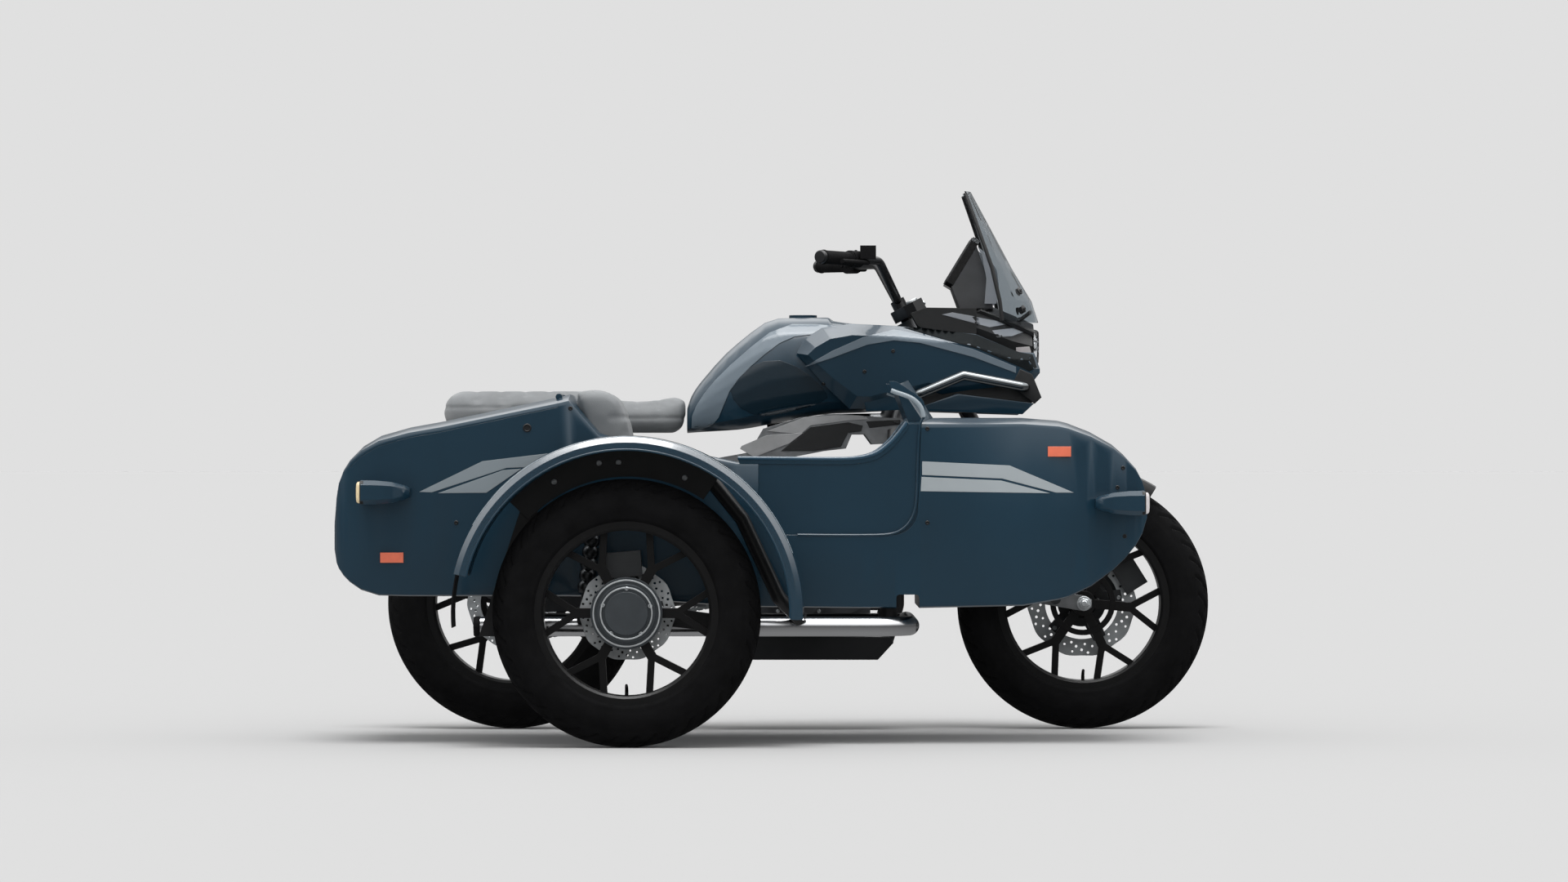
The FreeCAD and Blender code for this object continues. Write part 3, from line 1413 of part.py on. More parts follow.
for rib_z in (engine_top + dim.cylinder_height * 0.5, head_z, head_z + dim.head_height * 0.35):
    seam_ribs.append(block(head_back_x - gap * 2, bike_y - head_half - gap / 2, rib_z - gap * 2,
                           head_long + gap * 2, head_half * 2 + gap, gap * 4))
sump_ribs = []
for rib in range(int(float(dim.sump_ribs))):
    rib_y = bike_y + engine_half * (-0.6 + 1.2 * rib / (float(dim.sump_ribs) - 1))
    sump_ribs.append(block(engine_back_x + engine_long * 0.3, rib_y - gap, dim.engine_bottom_z - margin / 2,
                           engine_long * 0.52, gap * 2, margin))
cover_parts = []
for radius, depth in ((dim.cover_radius, 0.45), (dim.cover_radius * 0.84, 0.8), (dim.cover_radius * 0.42, 1.0)):
    cover_parts.append(rod((dim.clutch_x, bike_y - engine_half, dim.clutch_z),
                           (dim.clutch_x, bike_y - engine_half - dim.cover_depth * depth, dim.clutch_z), radius))
boss_ring = dim.cover_radius - dim.boss_radius
for boss in range(int(float(dim.boss_count))):
    angle = as_size(360) * (boss / float(dim.boss_count))
    boss_x = dim.clutch_x + boss_ring * cosine(angle)
    boss_z = dim.clutch_z + boss_ring * sine(angle)
    cover_parts.append(rod((boss_x, bike_y - engine_half, boss_z),
                           (boss_x, bike_y - engine_half - dim.cover_depth * 0.6, boss_z), dim.boss_radius))
covers = both_sides(fused(cover_parts))
oil_filter = rod((engine_back_x + engine_long * 0.96, bike_y, dim.engine_bottom_z + dim.engine_height * 0.34),
                 (engine_back_x + engine_long + dim.filter_length, bike_y,
                  dim.engine_bottom_z + dim.engine_height * 0.34), dim.filter_radius)
output = rod((sprocket_x, bike_y, dim.sprocket_front_z),
             (sprocket_x, bike_y + dim.sprocket_offset + dim.sprocket_thickness / 2,
              dim.sprocket_front_z), dim.eye_radius)
front_sprocket = rod((sprocket_x, bike_y + dim.sprocket_offset - dim.sprocket_thickness / 2,
                      dim.sprocket_front_z),
                     (sprocket_x, bike_y + dim.sprocket_offset + dim.sprocket_thickness / 2,
                      dim.sprocket_front_z), dim.sprocket_front_radius)
engine_parts = [case, belt_case, gearbox, cylinder, head, oil_filter, output, front_sprocket]
shape_node("engine", [fused(engine_parts + seam_ribs + sump_ribs + covers)])

# Radiator: a core with grooves across it, between two tanks
radiator = new_body("radiator", dim.radiator_x, bike_y, dim.radiator_bottom_z)
radiator_face = new_sketch(radiator, "XZ_Plane")
half = dim.radiator_thickness / 2
core = half - dim.fin_depth
fin_count = int(float(dim.fin_count))
front_edge = []
for fin in range(fin_count):
    low = dim.radiator_height * (fin / fin_count)
    middle = dim.radiator_height * ((fin + 0.5) / fin_count)
    high = dim.radiator_height * ((fin + 1) / fin_count)
    front_edge += [(half, low), (half, middle), (core, middle), (core, high)]
back_edge = [(-across, up) for across, up in reversed(front_edge)]
draw_outline(radiator_face, front_edge + back_edge)
add_pad(radiator, radiator_face, dim.radiator_half_width * 2)
tank_half = dim.radiator_half_width * 0.12
for side in (-1, 1):
    tank_face = new_sketch(radiator, "XZ_Plane", (dim.radiator_half_width - tank_half) * side)
    draw_outline(tank_face, [(-half, 0), (half, 0), (half, dim.radiator_height), (-half, dim.radiator_height)])
    add_pad(radiator, tank_face, tank_half * 2)
keep(radiator, "radiator")

head_front_x = dim.cylinder_back_x + dim.cylinder_length + margin
pipe_x = dim.radiator_x - dim.radiator_thickness / 2 - dim.pipe_radius - dim.moving_gap
box_top = dim.box_bottom_z + dim.box_height
box_x = dim.box_front_x
port_z = head_z + margin * 1.4
pipe_y = bike_y - dim.pipe_spacing
pipes = both_sides(bent_tube([
    (head_front_x + gap, pipe_y, port_z),
    (pipe_x, pipe_y, port_z),
    (pipe_x, pipe_y, between(box_top, port_z, 0.198)),
    (box_x - dim.pipe_radius, pipe_y, box_top - dim.box_bevel),
], dim.pipe_radius, dim.pipe_radius * 1.2))
bevel = dim.box_bevel
box_side = prism([
    (box_back_x, dim.box_bottom_z + bevel), (box_back_x + bevel, dim.box_bottom_z),
    (box_x - bevel * 2.7, dim.box_bottom_z), (box_x, box_top - bevel), (box_x - bevel * 0.7, box_top),
    (box_back_x + bevel * 0.7, box_top), (box_back_x, box_top - bevel * 0.8),
], bike_y - dim.box_half_width, dim.box_half_width * 2)
shape_node("exhaust", [fused([box_side] + pipes)])

# Swinging arm, rear axle, chain
rear_arm = prism([
    (pivot_x + dim.swing_height / 2, dim.pivot_z - dim.swing_height * 0.4),
    (pivot_x + dim.swing_height / 2, dim.pivot_z + dim.swing_height * 0.4),
    (between(pivot_x, rear_x, 0.30), dim.pivot_z + dim.swing_height * 0.34),
    (rear_x + dim.swing_height * 0.6, axle_z + dim.swing_height * 0.46),
    (rear_x - dim.swing_height * 0.8, axle_z + dim.swing_height * 0.40),
    (rear_x - dim.swing_height * 0.8, axle_z - dim.swing_height * 0.40),
    (rear_x + dim.swing_height * 0.6, axle_z - dim.swing_height * 0.46),
    (between(pivot_x, rear_x, 0.25), dim.pivot_z - dim.swing_height * 0.62),
], bike_y - dim.swing_half_spacing - dim.swing_width / 2, dim.swing_width)
arm_inner = dim.swing_half_spacing - dim.swing_width / 2
tie = block(pivot_x - dim.swing_height * 1.3, bike_y - arm_inner, dim.pivot_z - dim.swing_height * 0.4,
            dim.swing_height * 0.8, arm_inner * 2, dim.swing_height * 0.9)
rear_axle = rod((rear_x, bike_y - dim.swing_half_spacing, axle_z), (rear_x, bike_y + dim.swing_half_spacing, axle_z),
                dim.axle_radius)
right_spacer = rod((rear_x, bike_y - arm_inner, axle_z),
                   (rear_x, bike_y - dim.disc_offset - dim.disc_thickness / 2 - dim.moving_gap, axle_z),
                   dim.axle_radius * 1.6)
left_spacer = rod((rear_x, bike_y + arm_inner, axle_z),
                  (rear_x, bike_y + dim.sprocket_offset + dim.sprocket_thickness / 2 + dim.moving_gap, axle_z),
                  dim.axle_radius * 1.6)
shape_node("swingarm", [fused(both_sides(rear_arm) + [tie, rear_axle, right_spacer, left_spacer])])

chain_y = bike_y + dim.sprocket_offset - dim.chain_width / 2


def belt_point(distance, out):
    """A point on the chain's path at a distance along it, moved out from the sprockets."""
    back = V(float(rear_x), float(chain_y), float(axle_z))
    front = V(float(sprocket_x), float(chain_y), float(dim.sprocket_front_z))
    mid_run = gap + dim.chain_height / 2
    back_radius = float(dim.sprocket_radius + mid_run)
    front_radius = float(dim.sprocket_front_radius + mid_run)
    line = front - back
    angle = math.atan2(line.z, line.x)
    lean = math.acos((back_radius - front_radius) / line.Length)
    straight = math.sqrt(line.Length ** 2 - (back_radius - front_radius) ** 2)
    back_arc = back_radius * (2 * math.pi - 2 * lean)
    front_arc = front_radius * 2 * lean
    distance = distance % 1 * (straight * 2 + back_arc + front_arc)
    away = float(out)
    if distance < back_arc:
        turn = angle + lean + distance / back_radius
        return back + V(math.cos(turn), 0, math.sin(turn)) * (back_radius + away)
    distance -= back_arc
    if distance < straight:
        turn = angle - lean
        start = back + V(math.cos(turn), 0, math.sin(turn)) * (back_radius + away)
        finish = front + V(math.cos(turn), 0, math.sin(turn)) * (front_radius + away)
        return start + (finish - start) * (distance / straight)
    distance -= straight
    if distance < front_arc:
        turn = angle - lean + distance / front_radius
        return front + V(math.cos(turn), 0, math.sin(turn)) * (front_radius + away)
    distance -= front_arc
    turn = angle + lean
    start = front + V(math.cos(turn), 0, math.sin(turn)) * (front_radius + away)
    finish = back + V(math.cos(turn), 0, math.sin(turn)) * (back_radius + away)
    return start + (finish - start) * (distance / straight)


# Each point of one link: along it, and out from the middle line
link_shares = ((0.00, 0.50), (0.30, 0.50), (0.42, 0.34), (0.58, 0.34), (0.70, 0.50))
link_count = int(float(dim.link_count))


def chain_edge(side):
    spots = []
    for link in range(link_count):
        for along, out in link_shares:
            spots.append(belt_point((link + along) / link_count, dim.chain_height * out * side))
    return Part.Wire(Part.makePolygon(spots + [spots[0]]))


chain_face = Part.Face(chain_edge(1)).cut(Part.Face(chain_edge(-1)))
chain_solid = chain_face.Faces[0].extrude(V(0, float(dim.chain_width), 0))
shape_node("drive_chain", [chain_solid])

# Tank and seat
tank = new_body("fuel_tank", 0, bike_y, 0)
# Each row: along the tank, underside, top, half width
tank_row_shares = (
    (0.000, 0.000, 0.215, 0.60), (0.023, 0.003, 0.319, 0.66), (0.084, 0.010, 0.460, 0.74),
    (0.276, 0.030, 0.779, 0.90), (0.497, 0.092, 0.993, 1.00), (0.764, 0.168, 1.000, 0.98),
    (0.796, 0.171, 0.970, 0.97), (0.941, 0.178, 0.936, 0.90), (1.000, 0.185, 0.886, 0.84),
)
# Each row: way round the section, half width, height
tank_section_shares = (
    (0.0, 0.62, 0.00), (0.2, 0.95, 0.12), (0.4, 1.00, 0.40), (0.6, 0.93, 0.72), (0.8, 0.72, 0.92), (1.0, 0.34, 1.00),
)
tank_stations = []
for along, low, high, wide in smoothed(tank_row_shares, 3):
    bottom = dim.tank_bottom_z + dim.tank_height * low
    top = dim.tank_bottom_z + dim.tank_height * high
    points = [(dim.tank_half_width * wide * across, between(bottom, top, up))
              for turn, across, up in smoothed(tank_section_shares, 2)]
    tank_stations.append((dim.tank_back_x + dim.tank_length * along, mirrored(points)))
add_loft(tank, "YZ_Plane", tank_stations)
filler = new_sketch(tank, "XY_Plane", dim.tank_bottom_z + dim.tank_height - dim.cap_rise)
draw_circle(filler, dim.tank_back_x + dim.tank_length * 0.63, 0, dim.filler_radius)
add_pad(tank, filler, dim.cap_rise * 2, False)
keep(tank, "fuel_tank")

seat = new_body("seat", 0, bike_y, 0)
# Each row: along the seat, top, half width
seat_row_shares = (
    (0.000, 0.55, 0.60), (0.030, 0.90, 0.72), (0.080, 1.00, 0.80), (0.380, 0.99, 0.92), (0.560, 0.97, 1.00),
    (0.660, 0.80, 1.00), (0.800, 0.68, 0.92), (0.930, 0.74, 0.74), (1.000, 0.84, 0.62),
)
seat_section_shares = ((0.88, 0.0), (1.0, 0.30), (0.97, 0.72), (0.80, 0.93), (0.40, 1.0))
seat_stations = []
for along, high, wide in seat_row_shares:
    points = [(dim.seat_half_width * wide * across, dim.seat_bottom_z + dim.seat_height * high * up)
              for across, up in seat_section_shares]
    seat_stations.append((dim.seat_back_x + dim.seat_length * along, mirrored(points)))
add_loft(seat, "YZ_Plane", seat_stations)
keep(seat, "seat")

# Side shrouds: flat against the tank, bevelled round a smaller outer face
shroud_share_points = (
    (0.000, 0.675), (0.036, 0.840), (0.112, 0.960), (0.240, 1.010), (0.440, 0.985), (0.800, 0.890),
    (0.990, 0.690), (1.060, 0.680), (1.085, 0.500), (1.085, 0.455), (1.040, 0.310), (0.985, 0.310),
    (0.880, 0.250), (0.640, 0.180), (0.580, 0.240), (0.300, 0.050), (0.236, 0.050), (0.120, 0.330),
)
shroud_face_share_points = (
    (0.050, 0.655), (0.085, 0.740), (0.150, 0.835), (0.250, 0.878), (0.440, 0.858), (0.775, 0.770),
    (0.955, 0.615), (1.030, 0.600), (1.058, 0.500), (1.050, 0.460), (1.010, 0.372), (0.975, 0.372),
    (0.865, 0.345), (0.650, 0.290), (0.590, 0.345), (0.330, 0.190), (0.270, 0.190), (0.160, 0.400),
)


def shroud_outline(share_points):
    return [(dim.shroud_back_x + dim.shroud_length * along, dim.shroud_bottom_z + dim.shroud_height * up)
            for along, up in share_points]


near_shroud = new_body("near_shroud", 0, bike_y - dim.shroud_inner_y, 0)
add_loft(near_shroud, "XZ_Plane", [
    (0, shroud_outline(shroud_share_points)),
    (dim.shroud_flat, shroud_outline(shroud_share_points)),
    (dim.shroud_thickness, shroud_outline(shroud_face_share_points)),
])
doc.recompute()
shape_node("side_shrouds", both_sides(near_shroud.Shape))


# Front cowl: a solid nose ahead of the fork, two side wings, a stay and the display
cowl_x = dim.cowl_back_x
cowl_z = dim.cowl_bottom_z
nose_rows = (
    (0.50, 0.28, 0.97, 1.06), (0.64, 0.12, 0.91, 0.98), (0.78, 0.00, 0.80, 0.90), (0.90, 0.00, 0.69, 0.80),
    (0.93, 0.02, 0.64, 0.76),
)
nose_section_shares = ((0.55, 0.0), (0.90, 0.2), (1.0, 0.55), (0.62, 0.88), (0.30, 1.0))
nose_back_x = cowl_x + dim.cowl_length * nose_rows[0][0]
nose_solid = new_body("cowl_nose", 0, bike_y, 0)
nose_stations = []
for along, low, high, wide in nose_rows:
    bottom = cowl_z + dim.cowl_height * low
    top = cowl_z + dim.cowl_height * high
    points = [(dim.cowl_half_width * wide * across, between(bottom, top, up)) for across, up in nose_section_shares]
    nose_stations.append((cowl_x + dim.cowl_length * along, mirrored(points)))
add_loft(nose_solid, "YZ_Plane", nose_stations)
wing_share_points = ((0.0, 0.89), (0.12, 0.98), (0.50, 0.97), (0.50, 0.40), (0.28, 0.36), (0.05, 0.70))
wing = prism([(cowl_x + dim.cowl_length * along, cowl_z + dim.cowl_height * up) for along, up in wing_share_points],
             bike_y - dim.shroud_inner_y + gap, dim.cowl_sheet)
cowl_stay = rod((on_stem(dim.head_start + dim.head_length / 2)[0], bike_y, dim.cowl_stay_z),
                (nose_back_x, bike_y, dim.cowl_stay_z), dim.cowl_stay_radius)
cowl_stay = cowl_stay.cut(rod(stem_point(0), stem_point(dim.head_length * 2), dim.head_radius + gap))
lean = math.radians(float(dim.display_lean))
display = Part.makeBox(float(dim.display_length), float(dim.display_half_width * 2), float(dim.display_thickness))
display.translate(V(0, -float(dim.display_half_width), -float(dim.display_thickness)))
display.rotate(V(0, 0, 0), V(0, 1, 0), float(dim.display_lean))
display.translate(vector(dim.display_x, bike_y, dim.display_z))
mast = rod((dim.display_x + dim.display_length * 0.4, bike_y, dim.display_z - dim.display_length / 2),
           (between(nose_back_x, nose_stations[-1][0], 0.24), bike_y, cowl_z + dim.cowl_height * 0.85), dim.eye_radius)
display_parts = display.fuse(mast)

# Windshield: a sheet curved round the front, lofted up from its base
screen = new_body("windshield", 0, bike_y, 0)
screen_row_shares = ((0.0, 0.0, 1.00, 0.62), (0.16, 0.10, 1.00, 0.55), (0.41, 0.39, 0.92, 0.34), (0.75, 0.74, 0.80, 0.20),
                     (1.0, 1.0, 0.62, 0.10))
screen_across_shares = ((1.0, 0.0), (0.80, 0.45), (0.45, 0.85), (0.15, 1.0))
screen_stations = []
for up, back, wide, wrap in screen_row_shares:
    front_edge = between(dim.screen_base_x, dim.screen_top_x, back)
    depth = dim.screen_half_width * wrap
    half = dim.screen_half_width * wide
    outer = [(front_edge - depth + depth * bulge, half * across) for across, bulge in screen_across_shares]
    outer = outer + [(x, -y) for x, y in reversed(outer)]
    inner = [(x - dim.screen_sheet, y * 0.985) for x, y in outer]
    screen_stations.append((dim.screen_base_z + dim.screen_height * up, outer + list(reversed(inner))))
add_loft(screen, "XY_Plane", screen_stations)
keep(screen, "windshield")
doc.recompute()
screen_bracket = rod((dim.screen_base_x - dim.screen_half_width / 2, bike_y - dim.screen_half_width * 0.35,
                      dim.screen_base_z - dim.eye_radius),
                     (dim.screen_base_x, bike_y - dim.screen_half_width * 0.35, dim.screen_base_z + dim.eye_radius * 3),
                     dim.cowl_stay_radius / 2).cut(screen.Shape).cut(nose_solid.Shape)
screen_bracket = min(screen_bracket.Solids, key=lambda solid: abs(
    solid.CenterOfMass.x - float(dim.screen_base_x - dim.screen_half_width / 4)))
display_parts = display_parts.cut(nose_solid.Shape)
cowl_parts = shape_node("cowl_parts", both_sides(wing) + both_sides(screen_bracket) + [cowl_stay, display_parts])
compound_node("front_cowl", [nose_solid, nodes.pop("cowl_parts")])

# Crash bars beside the tank
bar_y = bike_y - dim.crash_bar_y
bar_end_y = bike_y - dim.shroud_inner_y - dim.shroud_thickness - gap
bar_places = []
for along, up, out in ((0.0, 0.206, 1.0), (0.432, 0.425, 1.2), (1.0, 0.294, 1.0)):
    bar_places.append((dim.shroud_back_x + dim.shroud_length * between(0.538, 1.016, along),
                       bar_y - dim.crash_bar_radius * 1.5 * out, dim.shroud_bottom_z + dim.shroud_height * up))
near_bar = bent_tube([
    (bar_places[0][0], bar_end_y, bar_places[0][2]),
    bar_places[0],
    bar_places[1],
    bar_places[-1],
    (bar_places[-1][0], bar_end_y, bar_places[-1][2]),
], dim.crash_bar_radius, dim.crash_bar_radius * 1.04)
shape_node("crash_bars", both_sides(near_bar))

rear_guard_top = dim.subframe_z - dim.subframe_radius - gap - axle_z
make_fender("rear_mudguard", rear_x, bike_y, rear_guard_top, dim.guard_half_width, dim.fender_lip,
            dim.guard_sheet, dim.rear_guard_front_angle, dim.rear_guard_back_angle)


# Lamps on the sidecar, headlamp, tail lamp and side reflectors

rear_pod_z = dim.tub_floor_z + dim.tub_height * dim.rear_pod_share
front_pod_z = dim.tub_floor_z + dim.tub_height * dim.front_pod_share
# Each section of a pod: back from its lens, share of its depth, of its height
pod_row_shares = ((0.0, 1.0, 1.0), (0.30, 0.98, 0.98), (0.62, 0.84, 0.86), (0.90, 0.50, 0.58), (1.0, 0.24, 0.36))


def pod(name, x, z, forward):
    """A lamp pod that tapers away from its lens, on the tub's outer face."""
    body = new_body(name, x, outer_y + gap, z)
    rows = []
    for along, deep, high in pod_row_shares:
        half = dim.pod_height / 2 * high
        depth = dim.pod_depth * deep
        rows.append((-dim.pod_length * along * forward, [
            (tub_wide / 4, -half), (-depth * 0.72, -half), (-depth, -half * 0.62), (-depth, half * 0.62),
            (-depth * 0.72, half), (tub_wide / 4, half),
        ]))
    if forward > 0:
        rows.reverse()
    add_loft(body, "YZ_Plane", rows)
    doc.recompute()
    return body.Shape


def lens(x, z, forward):
    high = dim.pod_height / 2
    start = min(float(x), float(x + dim.lens_depth * forward))
    return block(start, outer_y - dim.pod_depth * 0.9, z - high * 0.9, dim.lens_depth, dim.pod_depth * 0.85,
                 dim.pod_height * 0.9)


doc.recompute()
tub_solid = tub.Shape
rear_pod = pod("rear_pod", dim.rear_pod_x, rear_pod_z, -1).cut(tub_solid)
front_pod = pod("front_pod", dim.front_pod_x - dim.lens_depth, front_pod_z, 1).cut(tub_solid)
pods = [max(item.Solids, key=lambda solid: -solid.CenterOfMass.y) for item in (rear_pod, front_pod)]
shape_node("lamp_pods", pods)

headlamp = block(nose_stations[-1][0] + gap, bike_y - dim.headlamp_half_width, cowl_z + dim.cowl_height * 0.05,
                 dim.lens_depth * 2, dim.headlamp_half_width * 2, dim.headlamp_height)
tail = block(subframe_back_x - gap - dim.lens_depth, bike_y - rail_half - dim.lens_depth, dim.subframe_z - dim.lens_depth,
             dim.lens_depth, rail_half * 2 + dim.lens_depth * 2, dim.tail_light_height)
reflectors = []
for x, share in ((dim.reflector_back_x, dim.reflector_back_share), (dim.reflector_front_x, dim.reflector_front_share)):
    z = dim.tub_floor_z + dim.tub_height * share
    plain = block(x - dim.reflector_length / 2, outer_y - dim.reflector_depth, z - dim.reflector_height / 2,
                  dim.reflector_length, dim.reflector_depth + tub_wide / 6, dim.reflector_height).cut(tub_solid)
    reflectors.append(min(plain.Solids, key=lambda solid: solid.CenterOfMass.y))
rear_lens = lens(dim.rear_pod_x, rear_pod_z, -1)
front_lens = lens(dim.front_pod_x - dim.lens_depth, front_pod_z, 1)
lenses = [rear_lens.cut(tub_solid).Solids[0], front_lens.cut(tub_solid).Solids[0]]
shape_node("lamp_lenses", lenses + [headlamp, tail] + reflectors)


# Brake calipers

def caliper(x, disc_y, disc_radius, angle, anchor_y):
    """A caliper over a disc's edge, with a lug that reaches its carrier at anchor_y."""
    side = 1 if float(anchor_y) > float(disc_y) else -1
    low = dim.caliper_height / 2
    inner = disc_radius - low
    half = dim.disc_thickness / 2 + dim.moving_gap
    far_y = disc_y - side * (half + dim.caliper_half_depth)
    start_y = min(float(far_y), float(anchor_y))
    depth = abs(float(anchor_y) - float(far_y))
    body = Part.makeBox(float(dim.caliper_height), depth, float(dim.caliper_width),
                        V(float(inner), start_y, -float(dim.caliper_width) / 2))
    slot = Part.makeBox(float(disc_radius + dim.moving_gap), float(half * 2), float(dim.caliper_width * 2),
                        V(0, float(disc_y - half), -float(dim.caliper_width)))
    solid = body.cut(slot)
    solid.rotate(V(0, 0, 0), V(0, 1, 0), -float(angle))
    solid.translate(vector(x, 0, axle_z))
    return solid


side_caliper = caliper(side_x, side_y + dim.disc_offset, dim.side_disc_radius, dim.caliper_angle,
                       arm_y - dim.arm_width / 2 - gap)


def lug(x, low_y):
    """A plate that carries a caliper above its axle."""
    top = axle_z + dim.side_disc_radius - dim.lug_half_width * 0.66
    low = axle_z + dim.lug_half_width * 0.6
    return prism([
        (x - dim.lug_half_width, low), (x + dim.lug_half_width, low),
        (x + dim.lug_half_width, top), (x - dim.lug_half_width, top),
    ], low_y, dim.lug_sheet)


side_lug = lug(side_x, arm_y - dim.arm_width / 2 - gap - dim.lug_sheet)
rear_caliper = caliper(rear_x, bike_y - dim.disc_offset, dim.side_disc_radius, dim.caliper_angle,
                       bike_y - arm_inner + gap)
rear_lug = lug(rear_x, bike_y - arm_inner + gap)
shape_node("calipers", [side_caliper.fuse(side_lug).removeSplitter(), rear_caliper.fuse(rear_lug).removeSplitter()])


# Steered parts: clamps, legs, leading arms, shocks, handlebar, mudguard and caliper

leg_side = dim.leg_spacing
leg_path = [
    stem_point(-dim.clamp_thickness / 2, dim.leg_offset, -leg_side),
    stem_point(dim.leg_bend_drop, dim.leg_offset, -leg_side),
    (dim.arm_hinge_x + dim.leg_foot_run, bike_y - leg_side, dim.arm_hinge_z + dim.leg_foot_rise),
    (dim.arm_hinge_x - dim.leg_radius / 2, bike_y - leg_side, dim.arm_hinge_z),
]
near_leg = bent_tube(leg_path, dim.leg_radius, dim.leg_radius * 2.2)
shape_node("fork_legs", both_sides(near_leg))
leg_spaces = both_sides(bent_tube(leg_path, dim.leg_radius + gap, dim.leg_radius * 2.2))


def clamp_plate(distance):
    """A plate square to the steering axis that holds both legs."""
    wall = dim.leg_radius * 0.45
    right = [
        (-dim.head_radius, -leg_side * 0.4),
        (dim.leg_offset - dim.leg_radius - wall, -leg_side - dim.leg_radius * 0.6),
        (dim.leg_offset, -leg_side - dim.leg_radius - wall),
        (dim.leg_offset + dim.leg_radius + wall, -leg_side - wall),
        (dim.leg_offset + dim.leg_radius + wall, -leg_side * 0.6),
    ]
    outline = right + [(ahead, -side) for ahead, side in reversed(right)]
    spots = [vector(ahead, side, -dim.clamp_thickness / 2) for ahead, side in outline]
    plate_shape = Part.Face(Part.makePolygon(spots + [spots[0]])).extrude(vector(0, 0, dim.clamp_thickness))
    plate_shape.rotate(V(0, 0, 0), V(0, 1, 0), -float(rake))
    plate_shape.translate(vector(*stem_point(distance)))
    return plate_shape


lower_distance = dim.head_start + dim.head_length + dim.clamp_gap + dim.clamp_thickness / 2
stem = rod(stem_point(0), stem_point(lower_distance), dim.stem_radius)
bar_x, bar_z = on_stem(-dim.bar_height)
risers = both_sides(rod(stem_point(0, 0, -dim.riser_spacing), (bar_x, bike_y - dim.riser_spacing, bar_z),
                        dim.leg_radius))
clamps = fused([clamp_plate(0), clamp_plate(lower_distance), stem] + risers)
bar_path = [
    (bar_x - dim.bar_sweep, bike_y - dim.bar_half_width, bar_z + dim.bar_rise),
    (bar_x - dim.bar_sweep * 0.25, bike_y - dim.bar_half_width * 0.45, bar_z + dim.bar_rise * 0.97),
    (bar_x, bike_y - dim.bar_half_width * 0.18, bar_z),
]
bar_path = bar_path + [(x, bike_y * 2 - y, z) for x, y, z in reversed(bar_path)]
shape_node("handlebar", [bent_tube(bar_path, dim.bar_radius, dim.bar_bend)])
bar_space = bent_tube(bar_path, dim.bar_radius + gap, dim.bar_bend)
for space in leg_spaces + [bar_space]:
    clamps = clamps.cut(space)
shape_node("triple_clamps", [clamps])

grip_start = vector(*bar_path[0])
grip_line = (vector(*bar_path[1]) - grip_start).normalize()
grip = Part.makeCylinder(float(dim.grip_radius), float(dim.grip_length), grip_start, grip_line)
grip_bore = Part.makeCylinder(float(dim.bar_radius + gap), float(dim.grip_length), grip_start, grip_line)
pod_start = grip_start + grip_line * float(dim.grip_length + gap)
switch_pod = Part.makeCylinder(float(dim.grip_radius) * 1.3, float(dim.grip_length) / 3, pod_start, grip_line)
switch_bore = Part.makeCylinder(float(dim.bar_radius + gap), float(dim.grip_length) / 3, pod_start, grip_line)
lever_start = pod_start + grip_line * float(dim.grip_length / 6)
ahead = vector(dim.grip_radius * 2.6, 0, -dim.grip_radius * 0.6)
lever_tip = grip_start + grip_line * float(dim.grip_length * 0.1) + ahead
lever_knee = lever_start + ahead
lever = bent_tube([(lever_start.x, lever_start.y, lever_start.z), (lever_knee.x, lever_knee.y, lever_knee.z),
                   (lever_tip.x, lever_tip.y, lever_tip.z)], dim.lever_radius, dim.lever_radius * 1.5)
reservoir_x = lever_start.x + float(dim.grip_radius)
reservoir = block(reservoir_x, lever_start.y - float(dim.reservoir_length) / 2, lever_start.z,
                  dim.reservoir_length * 0.8, dim.reservoir_length, dim.reservoir_height)
switch_part = fused([switch_pod, lever, reservoir]).cut(switch_bore).cut(bar_space)
switch_part = max(switch_part.Solids, key=lambda solid: solid.Volume)
shape_node("handlebar_grips", both_sides(grip.cut(grip_bore)) + both_sides(switch_part))

arm_centre = dim.leg_spacing - dim.leg_radius - gap - dim.arm_plate / 2
hinge_half = dim.arm_hinge_half_height
arm_outline = [
    (dim.arm_hinge_x - dim.arm_plate, dim.arm_hinge_z - hinge_half),
    (dim.arm_hinge_x - dim.arm_plate, dim.arm_hinge_z + hinge_half),
    (front_x, axle_z + dim.arm_half_height), (front_x + dim.arm_half_height, axle_z + dim.arm_half_height / 2),
    (front_x + dim.arm_half_height, axle_z - dim.arm_half_height / 2), (front_x, axle_z - dim.arm_half_height),
]
near_arm = prism(arm_outline, bike_y - arm_centre - dim.arm_plate / 2, dim.arm_plate)
hinge_tube = rod((dim.arm_hinge_x, bike_y - arm_centre, dim.arm_hinge_z),
                 (dim.arm_hinge_x, bike_y + arm_centre, dim.arm_hinge_z), hinge_half)
front_axle = rod((front_x, bike_y - arm_centre, axle_z), (front_x, bike_y + arm_centre, axle_z), dim.axle_radius)
near_spacer = rod((front_x, bike_y - arm_centre, axle_z),
                  (front_x, bike_y - dim.hub_half_length - dim.moving_gap, axle_z), dim.axle_radius * 1.6)
far_spacer = rod((front_x, bike_y + arm_centre, axle_z),
                 (front_x, bike_y + dim.disc_offset + dim.disc_thickness / 2 + dim.moving_gap, axle_z),
                 dim.axle_radius * 1.6)
shape_node("leading_arms", [fused(both_sides(near_arm) + [hinge_tube, front_axle, near_spacer, far_spacer])])

